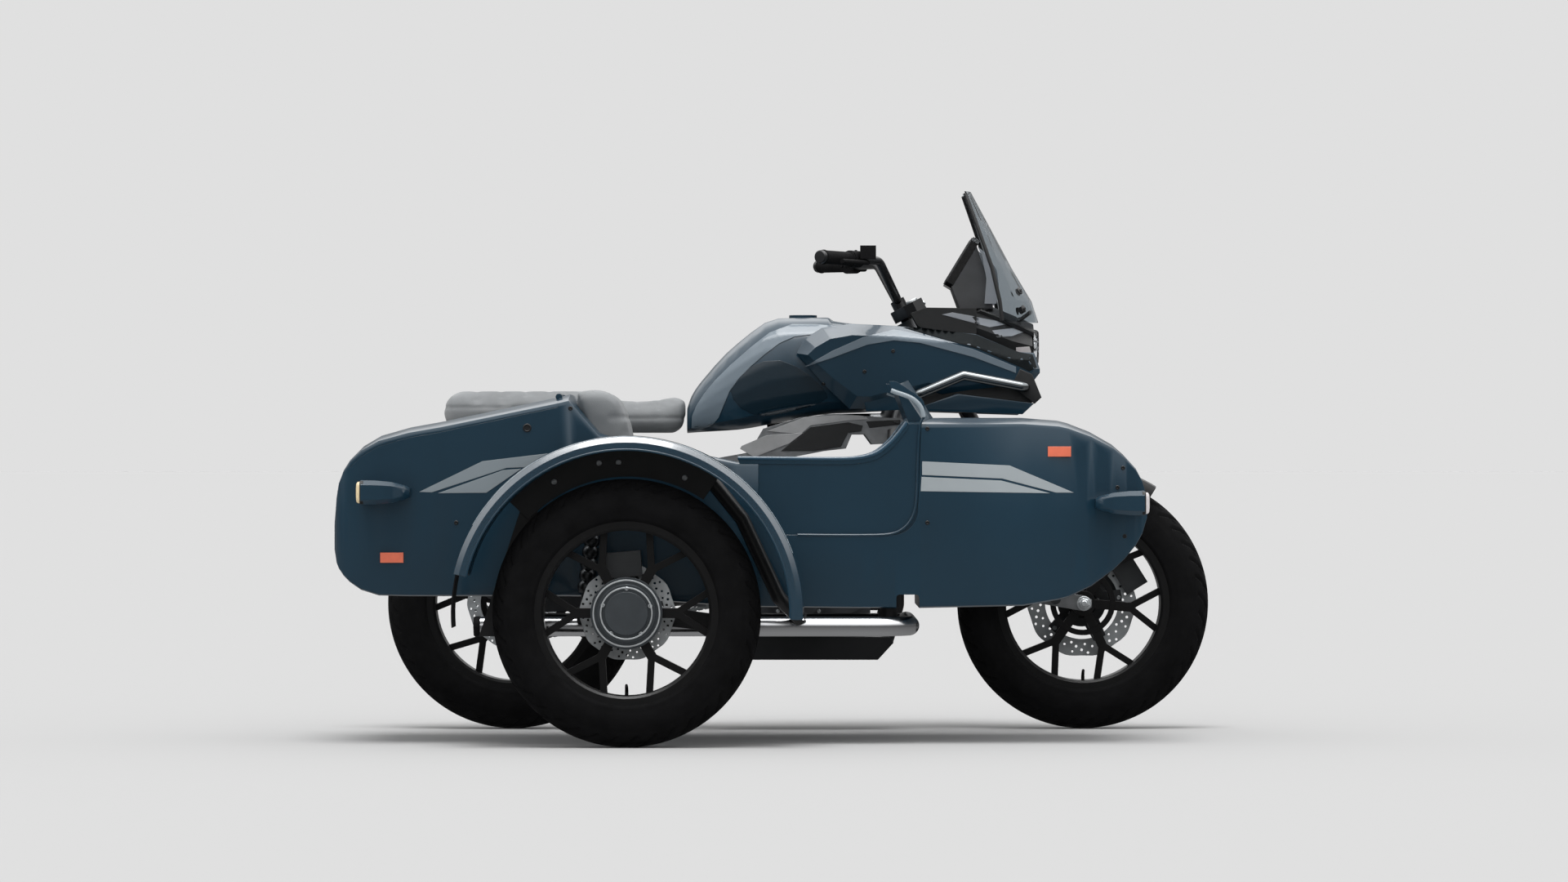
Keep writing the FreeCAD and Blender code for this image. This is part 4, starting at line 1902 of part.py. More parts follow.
shock_side = bike_y - leg_side - dim.leg_radius - dim.fork_shock_radius - gap * 3
fork_shock = shock((dim.fork_shock_low_x, shock_side, dim.fork_shock_low_z),
                   (dim.fork_shock_high_x, shock_side, dim.fork_shock_high_z), dim.fork_shock_radius,
                   dim.eye_radius, dim.arm_width)
low_pin = rod((dim.fork_shock_low_x, shock_side, dim.fork_shock_low_z),
              (dim.fork_shock_low_x, bike_y - arm_centre - dim.arm_plate / 2 - gap, dim.fork_shock_low_z),
              dim.axle_radius)
high_pin = rod((dim.fork_shock_high_x, shock_side, dim.fork_shock_high_z),
               (dim.fork_shock_high_x, bike_y - leg_side, dim.fork_shock_high_z), dim.axle_radius)
high_pin = max(high_pin.cut(leg_spaces[0]).Solids, key=lambda solid: solid.Volume)
shape_node("front_shocks", both_sides(fused([fork_shock, low_pin, high_pin])))

guard = make_fender("guard_channel", front_x, bike_y, dim.guard_radius, dim.guard_half_width, dim.fender_lip,
                    dim.guard_sheet, dim.guard_front_angle, dim.guard_back_angle)
tab = rod((dim.guard_tab_x, bike_y - dim.guard_half_width - gap, dim.guard_tab_z),
          (dim.guard_tab_x, bike_y - leg_side, dim.guard_tab_z), dim.axle_radius)
tab = max(tab.cut(leg_spaces[0]).Solids, key=lambda solid: solid.Volume)
tabs = shape_node("guard_tabs", both_sides(tab))
compound_node("front_mudguard", [nodes.pop("guard_channel"), nodes.pop("guard_tabs")])

front_anchor_y = bike_y + arm_centre + dim.arm_plate / 2 + gap
front_caliper = caliper(front_x, bike_y + dim.disc_offset, dim.front_disc_radius, dim.front_caliper_angle,
                        front_anchor_y + dim.lug_sheet)
front_reach = dim.front_disc_radius
front_lug = prism([
    (front_x - dim.lug_half_width * 0.4, axle_z - dim.lug_half_width / 3),
    (front_x + dim.lug_half_width / 2, axle_z - dim.lug_half_width / 2),
    (front_x + front_reach * 1.05, axle_z + front_reach * 0.42),
    (front_x + front_reach * 0.78, axle_z + front_reach * 0.74),
    (front_x - dim.lug_half_width * 0.4, axle_z + dim.lug_half_width / 2),
], front_anchor_y, dim.lug_sheet)
shape_node("front_caliper", [front_caliper.fuse(front_lug).removeSplitter()])


# Check every object, then write one file for each node
doc.recompute()
for item in doc.Objects:
    if "Invalid" in item.State or "Error" in item.State:
        raise RuntimeError("failed: " + item.Name)
for name, item in nodes.items():
    if item.Shape.isNull() or not item.Shape.isValid():
        raise RuntimeError("bad shape: " + name)
    item.Shape.exportStep("parts/" + name + ".step")
    box = item.Shape.BoundBox
    print(name, len(item.Shape.Solids), round(box.XMin), round(box.XMax), round(box.YMin), round(box.YMax),
          round(box.ZMin), round(box.ZMax))
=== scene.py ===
import bmesh
import bpy
import json
import math
from mathutils import Matrix, Vector
from mathutils.bvhtree import BVHTree


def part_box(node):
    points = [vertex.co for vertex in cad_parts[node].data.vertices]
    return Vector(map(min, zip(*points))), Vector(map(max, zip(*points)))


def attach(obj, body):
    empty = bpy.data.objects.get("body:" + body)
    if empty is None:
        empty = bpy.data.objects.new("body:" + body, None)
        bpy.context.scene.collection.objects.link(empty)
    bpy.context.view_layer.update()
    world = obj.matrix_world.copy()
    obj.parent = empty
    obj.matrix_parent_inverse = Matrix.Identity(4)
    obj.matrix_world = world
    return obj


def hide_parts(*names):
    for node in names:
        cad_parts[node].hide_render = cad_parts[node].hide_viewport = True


# Looks of a sidecar motorcycle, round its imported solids. Lengths are in metres, X points forward,
# Y to the left and Z up. The photograph looks along +Y at the sidecar's side.

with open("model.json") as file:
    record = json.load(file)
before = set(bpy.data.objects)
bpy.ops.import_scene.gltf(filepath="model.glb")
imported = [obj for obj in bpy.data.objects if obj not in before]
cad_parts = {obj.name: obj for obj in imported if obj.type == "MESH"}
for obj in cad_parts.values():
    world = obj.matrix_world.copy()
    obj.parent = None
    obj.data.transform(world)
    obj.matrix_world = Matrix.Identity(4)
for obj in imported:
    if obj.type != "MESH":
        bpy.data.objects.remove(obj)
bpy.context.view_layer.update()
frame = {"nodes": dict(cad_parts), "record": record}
cad_nodes = frame["nodes"]


# Materials

def tone(red, green, blue):
    """A colour given as it shows on a screen, 0 to 255, turned into the renderer's own numbers."""
    values = []
    for part in (red, green, blue):
        share = part / 255
        values.append(share / 12.92 if share <= 0.04045 else ((share + 0.055) / 1.055) ** 2.4)
    return (*values, 1.0)


# Where a mottled colour starts and stops to change, and the widest gap between moulded cells
mottle_stops = (0.3, 0.7)
cell_gap = 0.35


class Finish:
    """A node material, built up step by step."""

    def __init__(self, name, rough, metal=0.0, specular=0.5):
        self.material = bpy.data.materials.new(name)
        self.material.use_nodes = True
        self.tree = self.material.node_tree
        self.shader = self.tree.nodes["Principled BSDF"]
        self.shader.inputs["Metallic"].default_value = metal
        self.shader.inputs["Specular IOR Level"].default_value = specular
        self.shader.inputs["Roughness"].default_value = rough
        self.place = self.tree.nodes.new("ShaderNodeTexCoord").outputs["Object"]
        self.normal = None

    def add(self, kind, **inputs):
        node = self.tree.nodes.new(kind)
        for name, value in inputs.items():
            node.inputs[name.replace("_", " ")].default_value = value
        return node

    def link(self, output, entry):
        self.tree.links.new(output, entry)

    def noise(self, scale, detail, rough):
        """A cloudy pattern of the given scale, in patches per metre."""
        node = self.add("ShaderNodeTexNoise", Scale=scale, Detail=detail, Roughness=rough)
        self.link(self.place, node.inputs["Vector"])
        return node.outputs["Fac"]

    def mottle(self, colour, darkest, lightest, scale):
        """Vary the colour in patches, between two shares of it."""
        ramp = self.add("ShaderNodeValToRGB")
        stops = ramp.color_ramp.elements
        for index, share in enumerate((darkest, lightest)):
            stops[index].color = (*[min(1.0, part * share) for part in colour[:3]], 1.0)
        for index, position in enumerate(mottle_stops):
            stops[index].position = position
        self.link(self.noise(scale, 5.0, 0.55), ramp.inputs["Fac"])
        self.link(ramp.outputs["Color"], self.shader.inputs["Base Color"])

    def roughness(self, low, high, scale):
        spread = self.add("ShaderNodeMapRange", To_Min=low, To_Max=high)
        self.link(self.noise(scale, 3.0, 0.5), spread.inputs["Value"])
        self.link(spread.outputs["Result"], self.shader.inputs["Roughness"])

    def soft_edges(self, radius=0.0015):
        """Shade sharp edges as if they were slightly rounded."""
        bevel = self.add("ShaderNodeBevel", Radius=radius)
        bevel.samples = 4
        self.normal = bevel.outputs["Normal"]
        self.link(self.normal, self.shader.inputs["Normal"])

    def bump(self, height, depth):
        node = self.add("ShaderNodeBump", Strength=1.0, Distance=depth)
        self.link(height, node.inputs["Height"])
        if self.normal is not None:
            self.link(self.normal, node.inputs["Normal"])
        self.normal = node.outputs["Normal"]
        self.link(self.normal, self.shader.inputs["Normal"])
        return self

    def grain(self, scale, depth):
        return self.bump(self.noise(scale, 3.0, 0.6), depth)

    def cells(self, scale, depth):
        """Leather or moulded grain, from small rounded cells."""
        node = self.add("ShaderNodeTexVoronoi", Scale=scale)
        node.feature = "DISTANCE_TO_EDGE"
        self.link(self.place, node.inputs["Vector"])
        limit = self.add("ShaderNodeMapRange", From_Max=cell_gap)
        self.link(node.outputs["Distance"], limit.inputs["Value"])
        return self.bump(limit.outputs["Result"], depth)

    def coat(self, weight, rough):
        self.shader.inputs["Coat Weight"].default_value = weight
        self.shader.inputs["Coat Roughness"].default_value = rough
        return self


def clear(name, colour, rough, ior):
    finish = Finish(name, rough)
    finish.shader.inputs["Base Color"].default_value = colour
    finish.shader.inputs["Transmission Weight"].default_value = 1.0
    finish.shader.inputs["IOR"].default_value = ior
    return finish


def painted(name, colour, rough=0.28, coat=0.35, specular=0.35):
    finish = Finish(name, rough, 0.0, specular)
    finish.mottle(colour, 0.93, 1.07, 3.0)
    finish.soft_edges(0.002)
    finish.grain(900.0, 0.00002)
    return finish.coat(coat, 0.06)


def moulded(name, colour, rough=0.5, specular=0.3):
    """Dark moulded plastic with a fine grain."""
    finish = Finish(name, rough, 0.0, specular)
    finish.mottle(colour, 0.85, 1.2, 14.0)
    finish.roughness(rough - 0.08, rough + 0.08, 40.0)
    finish.soft_edges()
    return finish.cells(700.0, 0.0001)


def coated_metal(name, colour, rough=0.4, specular=0.4, metal=0.0):
    """Powder coat, with its faint orange peel."""
    finish = Finish(name, rough, metal, specular)
    finish.mottle(colour, 0.88, 1.12, 18.0)
    finish.roughness(rough - 0.05, rough + 0.07, 60.0)
    finish.soft_edges()
    return finish.grain(420.0, 0.00008)


def bare_metal(name, colour, rough):
    finish = Finish(name, rough, 1.0, 0.5)
    finish.mottle(colour, 0.82, 1.1, 30.0)
    finish.roughness(rough - 0.08, rough + 0.1, 120.0)
    finish.soft_edges(0.001)
    return finish.grain(600.0, 0.00005)


def polished(name, colour, rough):
    """Plated or drawn metal, nearly even."""
    finish = Finish(name, rough, 1.0, 0.5)
    finish.mottle(colour, 0.96, 1.03, 2.0)
    finish.roughness(rough - 0.03, rough + 0.03, 6.0)
    finish.soft_edges(0.001)
    return finish


def rubber(name, colour, rough=0.85):
    finish = Finish(name, rough, 0.0, 0.08)
    finish.mottle(colour, 0.7, 1.35, 22.0)
    finish.roughness(rough - 0.1, rough + 0.08, 50.0)
    return finish.grain(1100.0, 0.0001)


def vinyl(name, colour, rough=0.6):
    finish = Finish(name, rough, 0.0, 0.3)
    finish.mottle(colour, 0.88, 1.1, 9.0)
    finish.roughness(rough - 0.08, rough + 0.08, 30.0)
    finish.cells(420.0, 0.00025)
    finish.shader.inputs["Sheen Weight"].default_value = 0.15
    return finish


# The finishes: first those of the slots, then those that scene pieces need besides
looks = {
    "body_paint": (painted, (24, 54, 71)),
    "dark_plastic": (moulded, (30, 31, 32)),
    "rubber_parts": (rubber, (22, 22, 23), 0.75),
    "tyre_rubber": (rubber, (14, 14, 15)),
    "wheel_black": (coated_metal, (12, 12, 13), 0.30, 0.32),
    "cap_grey": (coated_metal, (66, 71, 75), 0.36, 0.5, 0.4),
    "rotor_steel": (bare_metal, (196, 200, 202), 0.48),
    "frame_black": (coated_metal, (26, 27, 29), 0.36),
    "arm_grey": (bare_metal, (128, 130, 132), 0.45),
    "shock_metal": (bare_metal, (80, 82, 84), 0.35),
    "caliper_grey": (coated_metal, (62, 64, 66), 0.45, 0.5, 0.5),
    "engine_metal": (coated_metal, (72, 74, 77), 0.5, 0.5, 0.5),
    "radiator_metal": (coated_metal, (24, 25, 26), 0.5),
    "exhaust_black": (coated_metal, (38, 39, 41), 0.42, 0.5, 0.5),
    "rail_chrome": (polished, (190, 191, 193), 0.2),
    "screen_glass": (clear, (186, 192, 196), 0.03, 1.1),
    "lens_clear": (clear, (240, 240, 238), 0.12, 1.45),
    "seat_vinyl": (vinyl, (137, 140, 142)),
    "stripe_light": (painted, (168, 176, 180), 0.35, 0.2),
    "stripe_grey": (painted, (140, 150, 156), 0.35, 0.2),
    # Painted highlight along the coaming's lip and the fender's crown
    "edge_paint": (painted, (150, 162, 170), 0.25, 0.5),
    "gloss_paint": (painted, (24, 54, 71), 0.16, 1.0, 0.9),
    # Painted shade for the tank's knee recess
    "dark_paint": (painted, (19, 40, 52), 0.25, 0.4),
    # Painted highlight on the entry's rolled rim
    "body_light": (painted, (42, 76, 98), 0.25, 0.4),
    # Painted highlight: the ceiling's reflection on the tank and the shrouds
    "tank_light": (painted, (112, 126, 137), 0.3, 0.3),
    "strip_grey": (painted, (150, 154, 160), 0.32, 0.3),
    # A light grey for the rear spar panel, and a painted highlight for the spar's top band
    "spar_light": (coated_metal, (171, 172, 173), 0.45, 0.4, 0.1),
    "bar_metal": (polished, (120, 124, 126), 0.18),
    "bright_metal": (bare_metal, (210, 212, 214), 0.12),
    "orange_lens": (moulded, (238, 120, 90), 0.3, 0.5),
    "warm_lens": (moulded, (228, 208, 168), 0.25, 0.5),
    "milk_lens": (moulded, (214, 209, 210), 0.2, 0.5),
    "red_lens": (moulded, (120, 12, 12), 0.15, 0.6),
    "lens_glass": (clear, (236, 238, 240), 0.03, 1.3),
    "display_black": (moulded, (12, 12, 13), 0.08, 0.6),
    "shade_black": (moulded, (19, 24, 26), 0.6, 0.08),
    "housing_grey": (moulded, (68, 69, 71), 0.5, 0.3),
}
finishes = {look: kind(look, tone(*colour), *rest) for look, (kind, colour, *rest) in looks.items()}


def dress(piece, look):
    piece.data.materials.clear()
    piece.data.materials.append(finishes[look].material)


for part in frame["record"]["subparts"]:
    dress(cad_nodes[part["node"]], part["material_slot"])
dress(cad_nodes["crash_bars"], "bar_metal")
dress(cad_nodes["sidecar_fender"], "gloss_paint")


# Places taken from the frame and from the photograph, whose camera stands on the machine's right

camera_y = -16.49
camera_z = 0.702
pixels_per_metre_at_one = 7978
horizon_pixel = 560
middle_pixel = 960
bike_y = sum(point.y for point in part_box("front_tyre")) / 2
tub_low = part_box("sidecar_tub")[0]
lid_low, lid_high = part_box("trunk_lid_panel")
tub_y = (lid_low.y + lid_high.y) / 2
tub_face_y = lid_low.y
# Both sides of the sidecar and of the motorcycle: a name, and which way along Y a look at it goes
tub_sides = (("outer", 1), ("inner", -1))
bike_sides = (("right", 1), ("left", -1))
forward = Vector((1, 0, 0))
leftward = Vector((0, 1, 0))
upward = Vector((0, 0, 1))
look_start = 3.0


def from_photo(pixel, y):
    """The place that a pixel of the photograph shows, on the upright plane at y."""
    scale = (y - camera_y) / pixels_per_metre_at_one
    return Vector(((pixel[0] - middle_pixel) * scale, y, camera_z + (horizon_pixel - pixel[1]) * scale))


def met(tree, spot, look):
    """The place and the normal where a look along Y meets a surface, or None for both."""
    return tree.ray_cast(Vector((spot.x, -look_start * look, spot.z)), leftward * look)[:2]


def off_axis(centre, turn, radius, across=0.0):
    """A place at an angle and a radius from an axis along Y, and moved along it."""
    return centre + Vector((radius * math.cos(turn), across, radius * math.sin(turn)))


# Forms built in mesh code

class Form:
    """Points and faces of one piece, gathered from simple forms."""

    def __init__(self):
        self.points = []
        self.faces = []

    def skin(self, rows, closed=False):
        """Skin ring-shaped rows of points. The last row joins the first, or both ends are capped."""
        start = len(self.points)
        wide = len(rows[0])
        for row in rows:
            self.points.extend(Vector(point) for point in row)
        for index in range(len(rows) if closed else len(rows) - 1):
            here = start + index * wide
            there = start + (index + 1) % len(rows) * wide
            for spot in range(wide):
                beside = (spot + 1) % wide
                self.faces.append((here + spot, here + beside, there + beside, there + spot))
        if not closed:
            last = start + (len(rows) - 1) * wide
            self.faces.append(tuple(start + spot for spot in reversed(range(wide))))
            self.faces.append(tuple(last + spot for spot in range(wide)))
        return self

    def tube(self, path, radius, sides):
        """A round tube along a path. Its radius is a number, or a function of the share of the way."""
        rows = []
        side = None
        for index, point in enumerate(path):
            along = (path[min(index + 1, len(path) - 1)] - path[max(index - 1, 0)]).normalized()
            if side is None:
                side = along.orthogonal().normalized()
            side = (side - along * side.dot(along)).normalized()
            size = radius(index / (len(path) - 1)) if callable(radius) else radius
            rows.append(ring(point, along, side, size, sides))
        return self.skin(rows)

    def turned(self, profile, centre, axis, sides, closed=False):
        """Turn a profile of (radius, distance along the axis) about an axis."""
        centre = Vector(centre)
        axis = Vector(axis).normalized()
        side = axis.orthogonal().normalized()
        rows = [ring(centre + axis * along, axis, side, radius, sides) for radius, along in profile]
        return self.skin(rows, closed)

    def slab(self, outline, depth):
        """A flat outline given depth along a vector."""
        outline = [Vector(point) for point in outline]
        return self.skin([outline, [point + Vector(depth) for point in outline]])

    def bolt(self, centre, axis, radius, height):
        """A round-headed screw with a socket in its head."""
        self.turned([(radius * wide, height * up) for wide, up in bolt_steps], centre, axis, 18)

    def nut(self, centre, axis, radius, height):
        """A six-sided nut on a washer, with the end of its bolt."""
        for sides, steps in nut_steps:
            self.turned([(radius * wide, height * up) for wide, up in steps], centre, axis, sides)

    def mesh(self, name):
        """The form as a mesh, with all faces turned outwards."""
        mesh = bpy.data.meshes.new(name)
        mesh.from_pydata([tuple(point) for point in self.points], [], self.faces)
        shape = bmesh.new()
        shape.from_mesh(mesh)
        bmesh.ops.recalc_face_normals(shape, faces=shape.faces)
        shape.to_mesh(mesh)
        shape.free()
        return mesh


# Steps out of a screw, and of a nut's washer, its six sides and its bolt's end: radius and height
bolt_steps = ((1.0, -0.3), (1.0, 0.35), (0.9, 0.8), (0.72, 1.0), (0.5, 1.0), (0.45, 0.95), (0.45, 0.3))
nut_steps = (
    (24, ((1.35, -0.1), (1.35, 0.14), (1.3, 0.18))),
    (6, ((1.0, 0.1), (1.0, 0.85), (0.88, 1.0))),
    (18, ((0.55, 0.5), (0.55, 1.25), (0.45, 1.35))),
)


def turns(count):
    return [2 * math.pi * index / count for index in range(count)]


def ring(centre, axis, side, radius, sides):
    """A circle of points about an axis, the first of them at its side."""
    up = axis.cross(side)
    return [centre + (side * math.cos(turn) + up * math.sin(turn)) * radius for turn in turns(sides)]


def added(name, data):
    """A new object, linked to the scene."""
    item = bpy.data.objects.new(name, data)
    bpy.context.scene.collection.objects.link(item)
    return item


def make(name, form, slot, finish=None, angle=32, body="chassis"):
    """Make a form into a piece that rides on a body, in its slot's finish or in another one."""
    return place(name, form.mesh(name), slot, finish, angle, body)


def place(name, mesh, slot, finish=None, angle=32, body="chassis"):
    mesh.shade_smooth()
    mesh.set_sharp_from_angle(angle=math.radians(angle))
    piece = added(name, mesh)
    dress(piece, finish or slot)
    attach(piece, body)
    return piece


def surface(*nodes):
    """A search tree over the faces of CAD nodes."""
    points = []
    faces = []
    for node in nodes:
        start = len(points)
        mesh = cad_nodes[node].data
        points.extend(vertex.co.copy() for vertex in mesh.vertices)
        faces.extend(tuple(start + index for index in polygon.vertices) for polygon in mesh.polygons)
    return BVHTree.FromPolygons(points, faces)


split_rounds = 7
leap_steps = 4


def laid(name, outline, tree, look, slot, finish, lift=0.0006, step=0.014):
    """A thin plate with the given outline, laid on the surface that a look along +Y or -Y meets."""
    shape = bmesh.new()
    shape.faces.new([shape.verts.new((point[0], 0, point[2])) for point in outline])
    bmesh.ops.triangulate(shape, faces=shape.faces)
    for _ in range(split_rounds):
        long_edges = [edge for edge in shape.edges if edge.calc_length() > step]
        if not long_edges:
            break
        bmesh.ops.subdivide_edges(shape, edges=long_edges, cuts=1, use_grid_fill=False)
        bmesh.ops.triangulate(shape, faces=shape.faces)
    last = 0.0
    for spot in shape.verts:
        hit, normal = met(tree, spot.co, look)
        if hit is not None:
            last = hit.y
            spot.co = hit + normal * lift
        else:
            spot.co.y = last - lift * look
    leaps = [edge for edge in shape.edges if edge.calc_length() > step * leap_steps]
    bmesh.ops.delete(shape, geom=leaps, context="EDGES")
    border = [edge for edge in shape.edges if edge.is_boundary]
    skirt = bmesh.ops.extrude_edge_only(shape, edges=border)
    for item in skirt["geom"]:
        if isinstance(item, bmesh.types.BMVert):
            item.co.y += lift * 2 * look
    bmesh.ops.recalc_face_normals(shape, faces=shape.faces)
    mesh = bpy.data.meshes.new(name)
    shape.to_mesh(mesh)
    shape.free()
    return place(name, mesh, slot, finish, 40)


def rounded(path, rounds):
    """Cut the corners of a path a few times, with its ends kept."""
    for _ in range(rounds):
        following = [path[0]]
        for first, second in zip(path, path[1:]):
            following.append(first.lerp(second, 0.25))
            following.append(first.lerp(second, 0.75))
        following.append(path[-1])
        path = following
    return path


def mirrored_y(point, middle):
    return Vector((point[0], 2 * middle - point[1], point[2]))


plate_edge_share = 0.12


def pierced(name, loops, thickness, centre, slot, body):
    """A flat plate across the Y axis, from an outer loop and the loops of its holes, all in (x, z)."""
    curve = bpy.data.curves.new(name, "CURVE")
    curve.dimensions = "2D"
    curve.fill_mode = "BOTH"
    curve.extrude = thickness / 2
    curve.bevel_depth = thickness * plate_edge_share
    curve.bevel_resolution = 0
    for loop in loops:
        spline = curve.splines.new("POLY")
        spline.points.add(len(loop) - 1)
        spline.use_cyclic_u = True
        for point, (x, z) in zip(spline.points, loop):
            point.co = (x, z, 0, 1)
    item = bpy.data.objects.new(name, curve)
    mesh = bpy.data.meshes.new_from_object(item)
    mesh.transform(Matrix.Translation(centre) @ Matrix.Rotation(math.radians(90), 4, "X"))
    bpy.data.objects.remove(item)
    bpy.data.curves.remove(curve)
    return place(name, mesh, slot, angle=30, body=body)


def circle(x, z, radius, count):
    return [(x + radius * math.cos(turn), z + radius * math.sin(turn)) for turn in turns(count)]


# Smooth shading over the solids' facets, with their real corners kept

weld_distance = 0.00002


def smoothing(degrees):
    """A node group that shades smooth, but not across edges with a larger angle than this."""
    group = bpy.data.node_groups.new("smooth_%d" % degrees, "GeometryNodeTree")
    for way in ("INPUT", "OUTPUT"):
        group.interface.new_socket("Geometry", in_out=way, socket_type="NodeSocketGeometry")
    kinds = ("NodeGroupInput", "GeometryNodeRemoveAttribute", "GeometryNodeMergeByDistance",
             "GeometryNodeSetShadeSmooth", "GeometryNodeSetShadeSmooth", "NodeGroupOutput")
    chain = [group.nodes.new(kind) for kind in kinds]
    remove, merge, faces, edges = chain[1:-1]
    remove.inputs["Name"].default_value = "custom_normal"
    merge.inputs["Distance"].default_value = weld_distance
    faces.domain = "FACE"
    edges.domain = "EDGE"
    edges.inputs["Shade Smooth"].default_value = False
    for before, after in zip(chain, chain[1:]):
        group.links.new(before.outputs["Geometry"], after.inputs["Geometry"])
    corner = group.nodes.new("GeometryNodeInputMeshEdgeAngle")
    compare = group.nodes.new("FunctionNodeCompare")
    compare.inputs["B"].default_value = math.radians(degrees)
    group.links.new(corner.outputs["Unsigned Angle"], compare.inputs["A"])
    group.links.new(compare.outputs["Result"], edges.inputs["Selection"])
    return group


crisp_degrees = 20
round_degrees = 34
smooth_groups = {degrees: smoothing(degrees) for degrees in (crisp_degrees, round_degrees)}
crisp_nodes = ("frame", "engine", "side_shrouds", "exhaust", "calipers", "front_caliper", "entry_coaming")
for node_name, node_object in cad_nodes.items():
    modifier = node_object.modifiers.new("smooth", "NODES")
    modifier.node_group = smooth_groups[crisp_degrees if node_name in crisp_nodes else round_degrees]


# Tyres, with tread blocks cut into the crown and ribs on the sidewalls

tread_pitches = 40
steps_per_pitch = 9
# Each point: out from the middle plane, and radius, as shares of the tyre's half width and radius
sidewall_shares = (
    (0.70, 0.665), (0.84, 0.680), (0.93, 0.700), (0.955, 0.712), (0.952, 0.726), (0.985, 0.745), (1.0, 0.780),
    (0.996, 0.815), (0.97, 0.850), (0.945, 0.868), (0.925, 0.874), (0.90, 0.893), (0.84, 0.915),
)
crown_steps = 28
crown_bend = 2.3
tread_depth = 0.0055
# Where the grooves run, as shares of the crown's half width from its middle
long_groove = 0.17
long_groove_half = 0.035
long_groove_wave = 0.055
shoulder_start = 0.27
middle_end = 0.12
shoulder_sipe = 0.66
shoulder_sipe_half = 0.03
tread_end = 0.97


def groove_depth(turn, across):
    """How deep the tread is cut at an angle round the tyre and a place across it, from 0 to 1."""
    pitch = turn * tread_pitches / (2 * math.pi)
    out = abs(across)
    wave = long_groove_wave * math.sin(pitch * math.pi)
    if abs(out - long_groove - wave) < long_groove_half:
        return 1.0
    if out > shoulder_start:
        slant = (pitch - out * 1.5 + (0.5 if across > 0 else 0.0)) % 1
        if slant < 0.2:
            return 1.0
        if abs(out - shoulder_sipe) < shoulder_sipe_half and slant > 0.5:
            return 0.6
    elif out < middle_end and (pitch * 0.5 + across * 1.2) % 1 < 0.09:
        return 0.8
    return 0.0


def make_tyre(node, body):
    """A tyre with its tread, in place of a plain one, and its centre."""
    low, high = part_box(node)
    centre = (low + high) / 2
    radius = (high.z - low.z) / 2
    half = (high.y - low.y) / 2
    side = [(half * across, radius * out, None) for across, out in sidewall_shares]
    edge_y, edge_radius, _ = side.pop()
    rows = list(side)
    for step in range(crown_steps + 1):
        across = 1 - 2 * step / crown_steps
        crown = radius - (radius - edge_radius) * abs(across) ** crown_bend
        rows.append((edge_y * across, crown, across if abs(across) < tread_end else None))
    rows += [(-y, out, None) for y, out, _ in reversed(side)]
    rings = []
    for y, out, across in rows:
        points = []
        for turn in turns(tread_pitches * steps_per_pitch):
            cut = 0.0 if across is None else groove_depth(turn, across) * tread_depth
            points.append(off_axis(centre, turn, min(out, radius) - cut, y))
        rings.append(points)
    piece = make(node + "_tread", Form().skin(rings, True), "tyre_rubber", angle=28, body=body)
    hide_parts(node)
    return centre


front_centre = make_tyre("front_tyre", "front_wheel")
rear_centre = make_tyre("rear_tyre", "rear_wheel")
side_centre = make_tyre("sidecar_tyre", "sidecar_wheel")
wheels = (("front", front_centre), ("rear", rear_centre), ("sidecar", side_centre))


# Discs with drilled holes and a five-armed carrier, and the rear sprocket

disc_thickness = 0.005
carrier_thickness = 0.007
disc_waves = 10
disc_arms = 5
# The holes of one wave: place along it, place up the ring and radius, as shares
disc_holes = (
    (0.10, 0.24, 0.028), (0.30, 0.42, 0.030), (0.50, 0.60, 0.030), (0.70, 0.78, 0.028),
    (0.62, 0.28, 0.026), (0.88, 0.46, 0.026), (0.20, 0.74, 0.026),
)


def ring_point(turn, radius):
    return radius * math.cos(turn), radius * math.sin(turn)


def rotor(name, centre, radius, body, ring_width):
    """A wavy drilled ring on a star-shaped carrier, with its bolts."""
    outer = [ring_point(turn, radius * (0.985 + 0.015 * math.cos(turn * disc_waves))) for turn in turns(120)]
    inner_radius = radius - ring_width
    loops = [outer, circle(0, 0, inner_radius, 72)]
    for wave in range(disc_waves):
        for along, up, size in disc_holes:
            spot = ring_point(2 * math.pi * (wave + along) / disc_waves, inner_radius + ring_width * up)
            loops.append(circle(*spot, radius * size, 12))
    pierced(name, loops, disc_thickness, centre, "rotor_steel", body)
    hub = radius * 0.36
    arm_reach = inner_radius + ring_width * 0.18
    gap_reach = hub + (inner_radius - hub) * 0.25
    star = []
    for turn in turns(disc_arms * 8):
        share = (turn * disc_arms / (2 * math.pi)) % 1
        star.append(ring_point(turn, arm_reach if share < 0.3 or share > 0.9 else gap_reach))
    carrier = pierced(name + "_carrier", [star, circle(0, 0, hub * 0.62, 32)], carrier_thickness,
                      centre, "caliper_grey", body)
    bolts = Form()
    for arm in range(disc_arms):
        turn = 2 * math.pi * (arm + 0.1) / disc_arms
        for out, size in ((inner_radius + ring_width * 0.02, 0.006), (hub * 0.82, 0.005)):
            for side in (-1, 1):
                spot = off_axis(centre, turn, out, side * carrier_thickness / 2)
                bolts.bolt(spot, leftward * side, size, 0.003)
    make(name + "_bolts", bolts, "rotor_steel", body=body)
    return carrier


def across_to(centre, y):
    """The place on a wheel's axis at y."""
    return Vector((centre.x, y, centre.z))


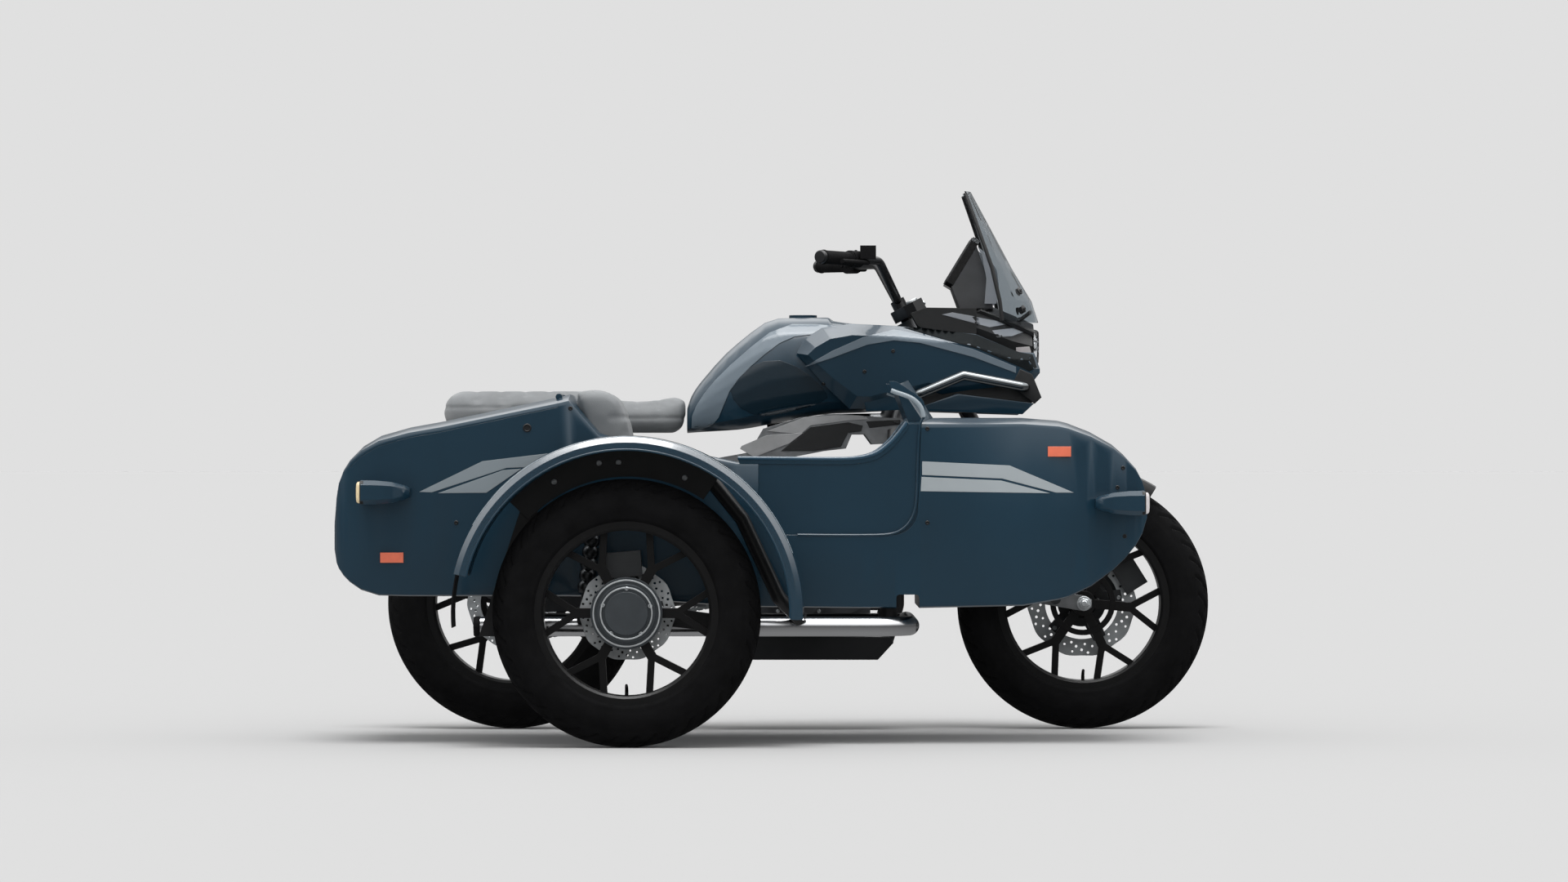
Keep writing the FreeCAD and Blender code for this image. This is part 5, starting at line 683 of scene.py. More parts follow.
side_ring_width = 0.034
disc_nodes = (
    ("front_disc", front_centre, "front_wheel", 0.046),
    ("sidecar_disc", side_centre, "sidecar_wheel", side_ring_width),
)
for node_name, centre, body, ring_width in disc_nodes:
    low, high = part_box(node_name)
    disc_radius = (high.z - low.z) / 2
    disc_at = across_to(centre, high.y - carrier_thickness / 2)
    piece = rotor(node_name + "_drilled", disc_at, disc_radius, body, ring_width)
    hub = Form()
    hub.turned([(0.034, low.y - high.y), (0.036, low.y - high.y + 0.002), (0.040, -0.006)],
               across_to(centre, high.y), leftward, 48)
    make(node_name + "_seat", hub, "wheel_black", body=body)
    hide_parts(node_name)

# The rear disc has the size of the last one, the sidecar's
rotor_low, rotor_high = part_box("rear_rotors")
rear_disc_at = across_to(rear_centre, rotor_low.y + carrier_thickness / 2)
rear_disc = rotor("rear_disc_drilled", rear_disc_at, disc_radius, "rear_wheel", side_ring_width)
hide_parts("rear_rotors")
sprocket_radius = 0.096
sprocket_teeth = 46
tooth_depth = 0.006
teeth = []
for turn in turns(sprocket_teeth * 6):
    share = (turn * sprocket_teeth / (2 * math.pi)) % 1
    if 0.3 < share < 0.6:
        reach = sprocket_radius
    elif share < 0.1 or share > 0.8:
        reach = sprocket_radius - tooth_depth
    else:
        reach = sprocket_radius - tooth_depth / 2
    teeth.append(ring_point(turn, reach))
windows = [circle(*ring_point(turn, 0.062), 0.013, 20) for turn in turns(6)]
pierced("rear_sprocket", [teeth, circle(0, 0, 0.030, 36)] + windows, 0.007,
        across_to(rear_centre, rotor_high.y - 0.004), "rotor_steel", "rear_wheel")
sprocket_seat = Form()
sprocket_seat.turned([(0.040, -0.036), (0.040, -0.004), (0.046, -0.004), (0.046, 0.0)],
                     across_to(rear_centre, rotor_high.y - 0.008), leftward, 48)
sprocket_seat.turned([(0.036, 0.0), (0.036, 0.016)], across_to(rear_centre, rotor_low.y), leftward, 48)
for turn in turns(6):
    spot = off_axis(across_to(rear_centre, rotor_high.y), turn + math.pi / 6, 0.044)
    sprocket_seat.bolt(spot, leftward, 0.005, 0.003)
make("rear_sprocket_seat", sprocket_seat, "caliper_grey", body="rear_wheel")


# Wheels: valves at their foot, and the hub cap with its rings and screws

# Each place of a valve: back from the rim towards the axle, and to the right
valve_bends = ((-0.002, 0.0), (0.012, 0.0), (0.022, 0.010), (0.026, 0.022))
for wheel_name, centre in wheels:
    start = centre - upward * 0.150 - leftward * 0.012
    foot = surface(wheel_name + "_rim").ray_cast(start, -upward)[0]
    valve = Form()
    valve.tube([foot + upward * back - leftward * right for back, right in valve_bends],
               lambda share: 0.0048 - 0.0012 * share, 12)
    make(wheel_name + "_valve", valve, "rubber_parts", body=wheel_name + "_wheel")

cap_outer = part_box("hub_cap")[0].y
cap_form = Form()
cap_ring_corners = ((-0.0022, 0), (-0.0016, 1), (0.0016, 1), (0.0022, 0))
# Each ring: radius, height and way back from the cap's outer face
for radius, height, back in ((0.080, 0.0006, 0.0112), (0.062, 0.0012, 0.0022), (0.046, 0.0012, 0.0022)):
    profile = [(radius + out, up * height) for out, up in cap_ring_corners]
    cap_form.turned(profile, across_to(side_centre, cap_outer + back), -leftward, 72, True)
make("hub_cap_rings", cap_form, "cap_grey", "rotor_steel", body="sidecar_wheel")
cap_bolts = Form()
for turn in turns(5):
    spot = off_axis(across_to(side_centre, cap_outer + 0.0085), turn + 0.3, 0.060)
    cap_bolts.bolt(spot, -leftward, 0.0055, 0.004)
make("hub_cap_bolts", cap_bolts, "rotor_steel", body="sidecar_wheel")


# Padded seats: a copy of a closed form is remeshed, swollen as cloth, capped, then sewn

cloth_steps = 16
cloth_pressure = 4.0
cloth_stiffness = 25
box_gap = 0.0005


def padded_piece(name, rows, node, voxel, cap):
    """A form swollen as cloth, no point by more than the cap and none past its node's box."""
    form = Form()
    form.skin(rows)
    piece = added(name, form.mesh(name))
    bpy.context.view_layer.objects.active = piece
    remesh = piece.modifiers.new("remesh", "REMESH")
    remesh.mode = "VOXEL"
    remesh.voxel_size = voxel
    apply_modifiers(piece)
    relax(piece.data, 4)
    starts = [vertex.co.copy() for vertex in piece.data.vertices]
    cloth = piece.modifiers.new("cloth", "CLOTH")
    cloth.settings.use_pressure = True
    cloth.settings.uniform_pressure_force = cloth_pressure
    cloth.settings.tension_stiffness = cloth_stiffness
    cloth.settings.compression_stiffness = cloth_stiffness
    cloth.settings.effector_weights.gravity = 0
    cloth.collision_settings.use_collision = False
    cloth.collision_settings.use_self_collision = False
    scene = bpy.context.scene
    for step in range(1, cloth_steps + 1):
        scene.frame_set(step)
    apply_modifiers(piece)
    scene.frame_set(1)
    low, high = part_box(node)
    for vertex, start in zip(piece.data.vertices, starts):
        shift = vertex.co - start
        if shift.length > cap:
            vertex.co = start + shift.normalized() * cap
        for axis in range(3):
            vertex.co[axis] = min(max(vertex.co[axis], low[axis] + box_gap), high[axis] - box_gap)
    relax(piece.data, 2)
    return piece


def apply_modifiers(piece):
    graph = bpy.context.evaluated_depsgraph_get()
    mesh = bpy.data.meshes.new_from_object(piece.evaluated_get(graph))
    piece.modifiers.clear()
    old = piece.data
    piece.data = mesh
    bpy.data.meshes.remove(old)


def relax(mesh, rounds):
    shape = bmesh.new()
    shape.from_mesh(mesh)
    for _ in range(rounds):
        bmesh.ops.smooth_vert(shape, verts=shape.verts, factor=0.5, use_axis_x=True, use_axis_y=True,
                              use_axis_z=True)
    shape.to_mesh(mesh)
    shape.free()


def sewn(piece, depth_at, node):
    """Press the seams into a padded piece, subdivide it once and let it ride in place of its node."""
    shape = bmesh.new()
    shape.from_mesh(piece.data)
    shape.normal_update()
    moves = [(vertex, vertex.normal * -depth_at(vertex.co, vertex.normal)) for vertex in shape.verts]
    for vertex, move in moves:
        vertex.co += move
    shape.to_mesh(piece.data)
    shape.free()
    piece.data.shade_smooth()
    rounder = piece.modifiers.new("subdivide", "SUBSURF")
    rounder.levels = 1
    rounder.render_levels = 1
    apply_modifiers(piece)
    piece.data.shade_smooth()
    dress(piece, "seat_vinyl")
    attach(piece, "chassis")
    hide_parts(node)


def groove(distance, width, depth):
    return depth * math.exp(-(distance / width) ** 2)


# The motorcycle's seat. Each row: along it, underside, top, half width
seat_low, seat_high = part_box("seat")
seat_row_shares = (
    (0.006, 0.20, 0.70, 0.50), (0.03, 0.08, 0.90, 0.70), (0.09, 0.03, 0.99, 0.80), (0.22, 0.02, 1.0, 0.87),
    (0.36, 0.02, 0.99, 0.92), (0.47, 0.02, 0.99, 0.95), (0.55, 0.02, 0.97, 0.985), (0.61, 0.02, 0.88, 0.99),
    (0.67, 0.02, 0.76, 0.98), (0.75, 0.02, 0.69, 0.94), (0.84, 0.03, 0.68, 0.84), (0.93, 0.05, 0.76, 0.72),
    (0.985, 0.10, 0.84, 0.60), (0.997, 0.2, 0.80, 0.5),
)
seat_section_shares = (
    (0.0, 0.0), (0.55, 0.0), (0.86, 0.03), (0.97, 0.22), (0.985, 0.48), (0.95, 0.72), (0.84, 0.90),
    (0.60, 0.985), (0.30, 1.0), (0.0, 1.0),
)
seat_size = seat_high - seat_low
seat_wide_share = 0.985
seat_seam_share = 0.60
seat_seam_bow = 0.05
# Each channel across the seat: its share of the length, and its depth
seat_channels = ((0.14, 0.0022), (0.24, 0.0022), (0.34, 0.0022), (0.44, 0.0022), (0.70, 0.0018),
                 (0.80, 0.0018), (0.89, 0.0018))

seat_rows = []
for along, low_share, high_share, wide in seat_row_shares:
    x = seat_low.x + seat_size.x * along
    row_low = seat_low.z + seat_size.z * low_share
    row_tall = seat_size.z * (high_share - low_share)
    half = seat_size.y / 2 * wide * seat_wide_share
    right = [Vector((x, bike_y - half * across, row_low + row_tall * up))
             for across, up in seat_section_shares]
    seat_rows.append(right + [mirrored_y(point, bike_y) for point in reversed(right[1:-1])])


def seat_depth(point, normal):
    """Two welts, one across behind the rider and one round the side, and channels across the top."""
    across = abs(point.y - bike_y) / (seat_size.y / 2)
    along = (point.x - seat_low.x) / seat_size.x
    depth = 0.0
    if normal.z > -0.2:
        seam_x = seat_low.x + seat_size.x * seat_seam_share + seat_seam_bow * across ** 2
        depth += groove(seam_x - point.x, 0.0055, 0.0035)
    if abs(normal.z) < 0.75:
        drop = 0.0 if along < 0.55 else 0.25 * min(1, (along - 0.55) / 0.15)
        depth += groove(point.z - seat_low.z - seat_size.z * (0.60 - drop), 0.004, 0.0025)
    if normal.z > 0.5 and across < 0.7:
        depth += max(groove(point.x - seat_low.x - seat_size.x * share, 0.006, deep)
                     for share, deep in seat_channels)
    return depth


sewn(padded_piece("rider_seat", seat_rows, "seat", 0.006, 0.008), seat_depth, "seat")

# The sidecar's cushion and backrest, from side outlines with rounded ends across
soft_low, soft_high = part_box("sidecar_seat")
inner_half = (soft_high.y - soft_low.y) / 2


def side_rows(outline, middle_y, half, rounding):
    """Rows of a side outline across Y, drawn in towards its middle near both ends."""
    centre = sum((Vector(point) for point in outline), Vector((0, 0))) / len(outline)
    pulls = ((-1.0, rounding), (-0.985, rounding * 0.45), (-0.94, 0.0), (0.94, 0.0), (0.985, rounding * 0.45),
             (1.0, rounding))
    rows = []
    for across, pull in pulls:
        row = []
        for x, z in outline:
            away = Vector((x, z)) - centre
            spot = centre + away * (1 - pull / max(0.05, away.length))
            row.append(Vector((spot.x, middle_y + half * across, spot.y)))
        rows.append(row)
    return rows


front_x = soft_high.x - 0.001
back_x = -0.366
base_z = soft_low.z + 0.004
top_z = 0.480
cushion_outline = (
    (back_x + 0.012, base_z + 0.016), (-0.10, base_z), (front_x - 0.04, base_z + 0.002),
    (front_x - 0.004, base_z + 0.055), (front_x - 0.002, top_z - 0.035), (front_x - 0.025, top_z - 0.006),
    (front_x - 0.07, top_z - 0.002), (-0.15, top_z - 0.004), (back_x + 0.04, top_z + 0.002),
    (back_x + 0.008, top_z - 0.02), (back_x + 0.004, base_z + 0.05),
)
backrest_outline = (
    (-0.444, 0.420), (-0.378, 0.418), (-0.372, 0.46), (-0.366, 0.60), (-0.372, 0.70), (-0.392, 0.80),
    (-0.412, 0.850), (-0.437, 0.866), (-0.475, 0.866), (-0.508, 0.864), (-0.517, 0.860), (-0.494, 0.81),
    (-0.462, 0.745), (-0.446, 0.66),
)


def pleats(y):
    """Three channels along the cushion or up the backrest."""
    return max(groove(y - tub_y - inner_half * share, 0.006, 0.004) for share in (-0.5, 0.0, 0.5))


def cushion_depth(point, normal):
    depth = 0.0
    if normal.z > 0.4:
        depth = max(pleats(point.y), groove(point.x - front_x + 0.07, 0.006, 0.003))
    if abs(normal.z) < 0.6:
        depth = max(depth, groove(point.z - top_z + 0.045, 0.005, 0.003))
    return depth


def backrest_depth(point, normal):
    depth = pleats(point.y) if normal.x > 0.3 else 0.0
    if normal.x > 0.0:
        depth = max(depth, groove(point.z - 0.80, 0.006, 0.003))
    return depth


cushion_rows = side_rows(cushion_outline, tub_y, inner_half * 0.985, 0.020)
backrest_rows = side_rows(backrest_outline, tub_y, inner_half * 0.93, 0.018)
cushion_piece = padded_piece("sidecar_cushion", cushion_rows, "sidecar_seat", 0.007, 0.010)
sewn(cushion_piece, cushion_depth, "sidecar_seat")
backrest_piece = padded_piece("sidecar_backrest", backrest_rows, "sidecar_seat", 0.007, 0.008)
sewn(backrest_piece, backrest_depth, "sidecar_seat")


# Sidecar body: stripes, the bead below the entry, screws, lock, floor mat

tub_tree = surface("sidecar_tub", "trunk_lid_panel")
stripes = {
    "front_upper": ((1130.6, 565), (1237.7, 570), (1316.8, 603.3), (1295, 603.3), (1228.8, 586),
                    (1130.6, 581.6)),
    "front_lower": ((1129.8, 584), (1227.5, 588.5), (1287.4, 604), (1128.8, 601.5)),
    "rear_upper": ((514.5, 602.4), (592, 564.8), (700, 552), (700, 570), (622, 573), (530, 603)),
    "rear_lower": ((537.5, 604), (617.5, 575.7), (640, 574), (597, 603.5)),
}
for stripe, pixels in stripes.items():
    outline = [from_photo(pixel, tub_face_y) for pixel in pixels]
    look_name = "stripe_light" if "front" in stripe else "stripe_grey"
    for side, look in tub_sides:
        laid("stripe_%s_%s" % (stripe, side), outline, tub_tree, look, "body_paint", look_name)

bead_pixels = ((1133, 511), (1129, 516), (1126.5, 530), (1125.5, 560), (1124.5, 600), (1123, 622),
               (1117, 638), (1106, 649), (1094, 654), (1075, 655.5), (1020, 655.5), (978, 655))
rim_pixels = ((905, 561), (965, 561.5), (1030, 562), (1050, 561), (1064, 558.5), (1076, 554.5), (1091, 543),
              (1102, 530.5), (1112, 517))
lip_pixels = ((1092.5, 478), (1100, 481), (1110, 484), (1119, 488), (1126, 494), (1130.5, 501), (1132.5, 511))
lip_back_pixels = ((1090.5, 467), (1097, 466.5), (1104, 470), (1115, 477.5), (1126, 485), (1133.5, 491),
                   (1135, 511))
rim_width = 0.004
rim_drop = Vector((-0.004, 0, 0.014))
lip_width = 0.010


def side_path(pixels, side_y, rounds):
    """A line along the sidecar's side, with the outline that the photograph shows."""
    spots = [from_photo(pixel, tub_face_y) for pixel in pixels]
    return rounded([Vector((spot.x, side_y, spot.z)) for spot in spots], rounds)


for side, look in tub_sides:
    face_y = tub_face_y if look == 1 else 2 * tub_y - tub_face_y
    make("side_bead_" + side, Form().tube(side_path(bead_pixels, face_y + 0.0008 * look, 4), 0.0034, 10),
         "body_paint")
    rim_line = side_path(rim_pixels, face_y + 0.0042 * look, 3)
    strip_top = [point - leftward * rim_width / 2 * look for point in rim_line]
    strip_foot = [point - rim_drop for point in strip_top]
    make("rim_strip_" + side, Form().slab(strip_top + strip_foot[::-1], leftward * rim_width * look),
         "body_paint")
    # The entry's rolled rim is in a lighter blue, a painted highlight
    make("entry_rim_" + side, Form().tube(rim_line, 0.0048, 12), "body_paint", "body_light")
    lip_line = side_path(lip_pixels, face_y - 0.001 * look, 2)
    back_line = side_path(lip_back_pixels, face_y - 0.001 * look, 2)
    # The coaming's lip is in a light grey-blue, a painted highlight
    make("coaming_lip_" + side, Form().tube(lip_line, 0.0060, 12), "body_paint", "edge_paint")
    make("coaming_side_" + side, Form().slab(lip_line + back_line[::-1], leftward * lip_width * look),
         "body_paint")

screws = Form()
tub_screw_pixels = ((1378, 573), (1380, 657), (1371, 597), (1137, 525), (1137, 640), (560, 640), (700, 500))
for pixel in tub_screw_pixels:
    for _, look in tub_sides:
        hit = met(tub_tree, from_photo(pixel, tub_face_y), look)[0]
        if hit is not None:
            screws.bolt(hit, -leftward * look, 0.0055, 0.0025)
make("tub_screws", screws, "frame_black")
lock_pixel = (647, 524)
lock_steps = ((0.0105, -0.001), (0.0105, 0.0015), (0.0085, 0.0025), (0.0075, 0.0025), (0.007, 0.001),
              (0.002, 0.001))
lock_at = met(tub_tree, from_photo(lock_pixel, tub_face_y), 1)[0]
make("side_lock", Form().turned(lock_steps, lock_at, -leftward, 32), "frame_black")

mat_back_x = soft_high.x + 0.02
mat_front_x = 0.25
mat_half = inner_half * 0.95
mat_edge = 0.01
mat_z = tub_low.z + 0.0085
rib_count = 22
rib_pitch = (mat_front_x - mat_back_x) / rib_count
rib_half = rib_pitch * 0.28
mat = Form()
for rib in range(rib_count):
    x = mat_back_x + rib_pitch * (rib + 0.5)
    corners = ((-rib_half, 0.005), (rib_half, 0.005), (rib_half * 0.6, 0.009), (-rib_half * 0.6, 0.009))
    mat.slab([(x + out, tub_y - mat_half, mat_z + up) for out, up in corners], leftward * mat_half * 2)
sheet_y = tub_y - mat_half - mat_edge
sheet_top = mat_z + 0.0052
mat.slab([(mat_back_x, sheet_y, mat_z), (mat_front_x, sheet_y, mat_z), (mat_front_x, sheet_y, sheet_top),
          (mat_back_x, sheet_y, sheet_top)], leftward * (mat_half + mat_edge) * 2)
make("floor_mat", mat, "rubber_parts")


# Lamps: the lenses, their inner parts and the side reflectors, all in place of one node

lens_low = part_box("lamp_lenses")[0]
pod_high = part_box("lamp_pods")[1]
cowl_low, cowl_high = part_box("front_cowl")
pod_half_y = 0.024
pod_half_z = 0.0265
pod_middle_y = tub_face_y - 0.0275
pod_corner = 0.45
# Rows of a lens and of its rim: size as a share, and way out
lens_steps = ((1.0, -0.004), (1.0, 0.004), (0.97, 0.008), (0.85, 0.0105), (0.5, 0.0118), (0.1, 0.0119))
rim_steps = ((1.10, -0.006), (1.10, 0.001), (1.03, 0.0025), (1.02, -0.003))


def bulged(value):
    """A sine or cosine drawn out towards the corners of a rounded box."""
    return math.copysign(abs(value) ** pod_corner, value)


def pod_lens(name, x, z, look, finish):
    """A lens with rounded corners on a lamp pod, and a rim round it."""
    centre = Vector((x, pod_middle_y, z))
    outline = [(bulged(math.cos(turn)) * pod_half_y, bulged(math.sin(turn)) * pod_half_z)
               for turn in turns(40)]
    forms = []
    for steps, closed in ((lens_steps, False), (rim_steps, True)):
        rows = [[centre + Vector((out * look, y * size, z * size)) for y, z in outline]
                for size, out in steps]
        forms.append(Form().skin(rows, closed))
    piece = make(name, forms[0], "lens_clear", finish, 50)
    make(name + "_rim", forms[1], "dark_plastic")
    return piece


rear_lens_x = lens_low.x + 0.012
front_lens_x = pod_high.x + 0.0005
rear_pod_z = 0.616
front_pod_z = 0.590
lens_pieces = [pod_lens("rear_marker_lens", rear_lens_x, rear_pod_z, -1, "warm_lens"),
               pod_lens("front_marker_lens", front_lens_x, front_pod_z, 1, "milk_lens")]
reflector_half_x = 0.0285
reflector_half_z = 0.0125
reflector_corners = ((-1, -1), (1, -1), (1, 1), (-1, 1))
for name, pixel in (("rear", (481, 683)), ("front", (1299, 553))):
    spot = from_photo(pixel, tub_face_y)
    spot.y = met(tub_tree, spot, 1)[0].y
    rows = []
    for inset, out in ((0.0, 0.002), (0.0, -0.004), (0.00032, -0.0055), (0.004, -0.0058)):
        half_x = reflector_half_x - inset
        half_z = reflector_half_z - inset
        rows.append([spot + Vector((across * half_x, out, up * half_z)) for across, up in reflector_corners])
    form = Form().skin(rows)
    lens_pieces.append(make("side_reflector_" + name, form, "lens_clear", "orange_lens", 20))

headlamp_tall = 0.046
headlamp_half = 0.066
headlamp_at = Vector((cowl_high.x, bike_y, cowl_low.z + 0.010 + headlamp_tall))
headlamp_steps = ((1.0, -0.003), (1.0, 0.006), (0.96, 0.013), (0.86, 0.018), (0.5, 0.0195), (0.05, 0.0198))
headlamp_outline = ((-0.98, 0.25), (-0.80, 1.0), (-0.2, 0.86), (0.2, 0.86), (0.80, 1.0), (0.98, 0.25),
                    (0.62, -1.0), (0.15, -0.9), (-0.15, -0.9), (-0.62, -1.0))
lamp_form = Form()
lamp_form.skin([[headlamp_at + Vector((out, headlamp_half * across * size, headlamp_tall * up * size))
                 for across, up in headlamp_outline] for size, out in headlamp_steps])
lens_pieces.append(make("headlamp_lens", lamp_form, "lens_clear", "lens_glass", 40))
projector_steps = ((0.027, 0.004), (0.024, 0.0), (0.014, -0.002), (0.013, 0.004), (0.010, 0.008),
                   (0.003, 0.0098))
lamp_inside = Form()
for side in (-1, 1):
    projector_at = headlamp_at + Vector((0.001, side * headlamp_half * 0.46, 0.006))
    lamp_inside.turned(projector_steps, projector_at, forward, 36)
make("headlamp_projectors", lamp_inside, "lens_clear", "bright_metal", 40)

tail_at = Vector((seat_low.x - 0.012, bike_y, seat_low.z - 0.012))
tail_half_y = 0.096
tail_half_z = 0.015
tail_outline = ((-1, -0.6), (-0.92, 1), (0.92, 1), (1, -0.6), (0.9, -1), (-0.9, -1))
# Each row: way out, and its size across and up
tail_steps = ((0.012, 1.0, 1.0), (0.003, 1.0, 1.0), (0.0, 0.9, 0.9), (0.0, 0.95, 0.4))
tail_form = Form()
tail_form.skin([[tail_at + Vector((out, across * tail_half_y * wide, up * tail_half_z * tall))
                 for across, up in tail_outline] for out, wide, tall in tail_steps])
lens_pieces.append(make("tail_lamp_lens", tail_form, "lens_clear", "red_lens", 30))
for piece in lens_pieces:
    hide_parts("lamp_lenses")


# Tank, shrouds and cowl: panels laid on the solids, among them painted highlights and painted shade

trees = {node: surface(node) for node in ("fuel_tank", "side_shrouds", "front_cowl", "frame")}
tank_low, tank_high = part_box("fuel_tank")
shroud_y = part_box("side_shrouds")[0].y
cowl_y = bike_y - 0.12
spar_y = 0.25

# Each panel: the node below it, the plane it was read on, its finish and its outline in pixels
panels = {
    # Painted highlight: the ceiling's reflection in a band along the tank's upper bevel
    "tank_band": ("fuel_tank", tank_low.y, "tank_light", (
        (848, 524), (849, 505), (868, 475), (905, 438), (957, 397), (1014, 397), (1050, 404), (1060, 410),
        (1000, 409), (965, 414), (930, 440), (898, 472), (886, 500), (880, 515), (866, 524))),
    # Painted shade: the knee recess, in a darker blue than the body
    "tank_knee": ("fuel_tank", tank_low.y, "dark_paint", (
        (893, 470), (905, 455), (948, 438), (985, 452), (1012, 478), (1016, 490), (975, 503), (930, 511),
        (902, 496))),
    # Painted highlight: the ceiling's reflection along the shroud's upper bevel
    "shroud_ridge": ("side_shrouds", shroud_y, "tank_light", (
        (985, 450), (1020, 429.8), (1056.9, 413.5), (1095.9, 403.8), (1115.4, 407), (1193.4, 427.6),
        (1245.5, 449.3), (1245.5, 456.9), (1193.4, 437.4), (1128.4, 420), (1095.9, 416.8), (1063.4, 422.2),
        (1020, 438.5))),
    "shroud_shade": ("side_shrouds", shroud_y, "shade_black", (
        (1108, 401), (1130, 401), (1197, 410), (1250, 431.5), (1266, 434), (1271, 450), (1262, 455),
        (1250, 449), (1200, 427.5), (1153, 414.5))),
    "spar_inset_rear": ("frame", spar_y, "spar_light", (
        (905, 548), (940, 533), (985, 530), (968, 543), (925, 560))),
    # Painted highlight: the reflection along the spar's rounded top
    "spar_band": ("frame", spar_y, "spar_light", (
        (941, 528), (985, 511.5), (1024, 508.5), (1066, 509.5), (1066, 513.5), (1040, 515), (994, 521),
        (982, 531.5))),
    # Painted shade: dark panels where the spar's hollow and underside lie in shade
    "spar_painted_shade_front": ("frame", spar_y, "dark_plastic", (
        (958, 552), (983, 533), (994, 523), (1040, 517), (1058, 521), (1056, 528), (1040, 530), (1031, 547),
        (1000, 552))),
    "spar_painted_shade_neck": ("frame", spar_y, "dark_plastic", (
        (1062, 516), (1104, 514), (1104, 520), (1066, 524))),
}
# Panels that meet lie at two heights by turns, so that they don't cut through each other
panel_lifts = (0.0017, 0.0010)
panel_step = 0.010
for index, (name, (node, face_y, look_name, pixels)) in enumerate(panels.items()):
    outline = [from_photo(pixel, face_y) for pixel in pixels]
    if name.startswith("tank"):
        outline = rounded(outline + outline[:1], 1)[:-1]
    for side, look in bike_sides:
        laid(name + "_" + side, outline, trees[node], look, "body_paint", look_name, panel_lifts[index % 2],
             panel_step)


def side_prism(name, pixels, read_y, middle_y, half, finish, slot="dark_plastic", bevel=0.004):
    """A form with a side outline read from the photograph at read_y, given width across the machine."""
    spots = [from_photo(pixel, read_y) for pixel in pixels]
    rows = side_rows([(spot.x, spot.z) for spot in spots], middle_y, half, min(bevel, half * 0.5))
    return make(name, Form().skin(rows), slot, finish, 30)


def side_pair(name, pixels, out, half, slot, bevel=0.004):
    """The same form on both sides, its middle plane at a distance from the machine's own."""
    near_y = bike_y - out
    near = side_prism(name + "_right", pixels, near_y, near_y, half, None, slot, bevel)
    mesh = near.data.copy()
    for vertex in mesh.vertices:
        vertex.co.y = 2 * bike_y - vertex.co.y
    mesh.flip_normals()
    place(name + "_left", mesh, slot, angle=30)


recess_pixels = ((1121.7, 486.7), (1135, 478.3), (1153.3, 483), (1248.3, 468), (1262, 468), (1267, 493),
                 (1173.3, 483.5), (1128.3, 499))
wedge_pixels = ((1128.3, 498.3), (1173.3, 482.3), (1267.5, 494), (1253.3, 507.3), (1135, 503.5))
sill_pixels = ((1056, 476), (1100, 478), (1128, 484), (1128, 499), (1105, 502), (1062, 503.5))
cap_pixels = ((1250, 451.7), (1265, 458.3), (1276.5, 486.7), (1268.3, 494.5), (1253.3, 483.3),
              (1241.7, 468.3))
side_pair("shroud_recess", recess_pixels, 0.163, 0.008, "dark_plastic")
side_pair("shroud_wedge", wedge_pixels, 0.169, 0.016, "body_paint", 0.006)
side_pair("shroud_sill", sill_pixels, 0.162, 0.012, "body_paint")
side_pair("shroud_cap", cap_pixels, 0.172, 0.0165, "dark_plastic")

filler_share = 0.63
filler_at = Vector((tank_low.x + (tank_high.x - tank_low.x) * filler_share, bike_y, tank_high.z - 0.0032))
filler_steps = ((0.034, -0.002), (0.034, 0.001), (0.031, 0.003), (0.027, 0.003), (0.026, 0.0015),
                (0.024, 0.0015), (0.022, 0.003), (0.006, 0.003))
cap_form = Form()
cap_form.turned(filler_steps, filler_at, upward, 56)
for turn in turns(6):
    cap_form.bolt(filler_at + Vector((*ring_point(turn, 0.029), 0.0017)), upward, 0.0022, 0.0013)
make("filler_cap", cap_form, "rotor_steel")

cowl_panels = {
    "cowl_strip": (((1154.4, 385.5), (1167.4, 383), (1240, 396), (1213, 401)), "strip_grey"),
    "cowl_edge": (((1216, 405), (1255, 400), (1259, 405), (1240, 412), (1222, 413)), "strip_grey"),
    "lamp_side": (((1245.5, 425.5), (1262, 424), (1264, 430), (1262, 448), (1256, 453), (1245.5, 445)),
                  "milk_lens"),
}
for name, (pixels, look_name) in cowl_panels.items():
    outline = [from_photo(pixel, cowl_y) for pixel in pixels]
    for side, look in bike_sides:
        laid(name + "_" + side, outline, trees["front_cowl"], look, "dark_plastic", look_name)

# The cowl's ridged cover, in rows of place along it, ridge and half width
cover_rows = ((0.428, 1.068, 0.030), (0.470, 1.088, 0.060), (0.511, 1.104, 0.086), (0.560, 1.085, 0.096),
              (0.610, 1.064, 0.090), (0.648, 1.047, 0.078))
cover_section = ((0.0, 0.0), (0.36, -0.003), (0.97, -0.020), (1.0, -0.024), (0.96, -0.034), (0.5, -0.036))
rows = []
for x, ridge, half in cover_rows:
    right = [Vector((x, bike_y - half * across, ridge + down)) for across, down in cover_section]
    rows.append(right + [mirrored_y(point, bike_y) for point in reversed(right[1:])])
make("cowl_cover", Form().skin(rows), "dark_plastic", angle=12)

# The display's housing and the windshield's two supports
housing_outline = ((0.4335, 1.142), (0.455, 1.084), (0.543, 1.084), (0.541, 1.100), (0.526, 1.169),
                   (0.499, 1.250))
housing_half = 0.0815
make("display_housing", Form().skin(side_rows(housing_outline, bike_y, housing_half, 0.004)),
     "dark_plastic", "housing_grey", 30)
pillar_pixels = ((1198.9, 301.9), (1206.9, 309.5), (1221.6, 330.1), (1224.2, 349.6), (1221.6, 372),
                 (1206.9, 372), (1209.1, 340.9), (1204.3, 314.9))
pillar_out = 0.088
pillar_half = 0.005
for side, look in bike_sides:
    middle_y = bike_y - look * pillar_out
    side_prism("screen_support_" + side, pillar_pixels, bike_y - 0.09, middle_y, pillar_half, "strip_grey")

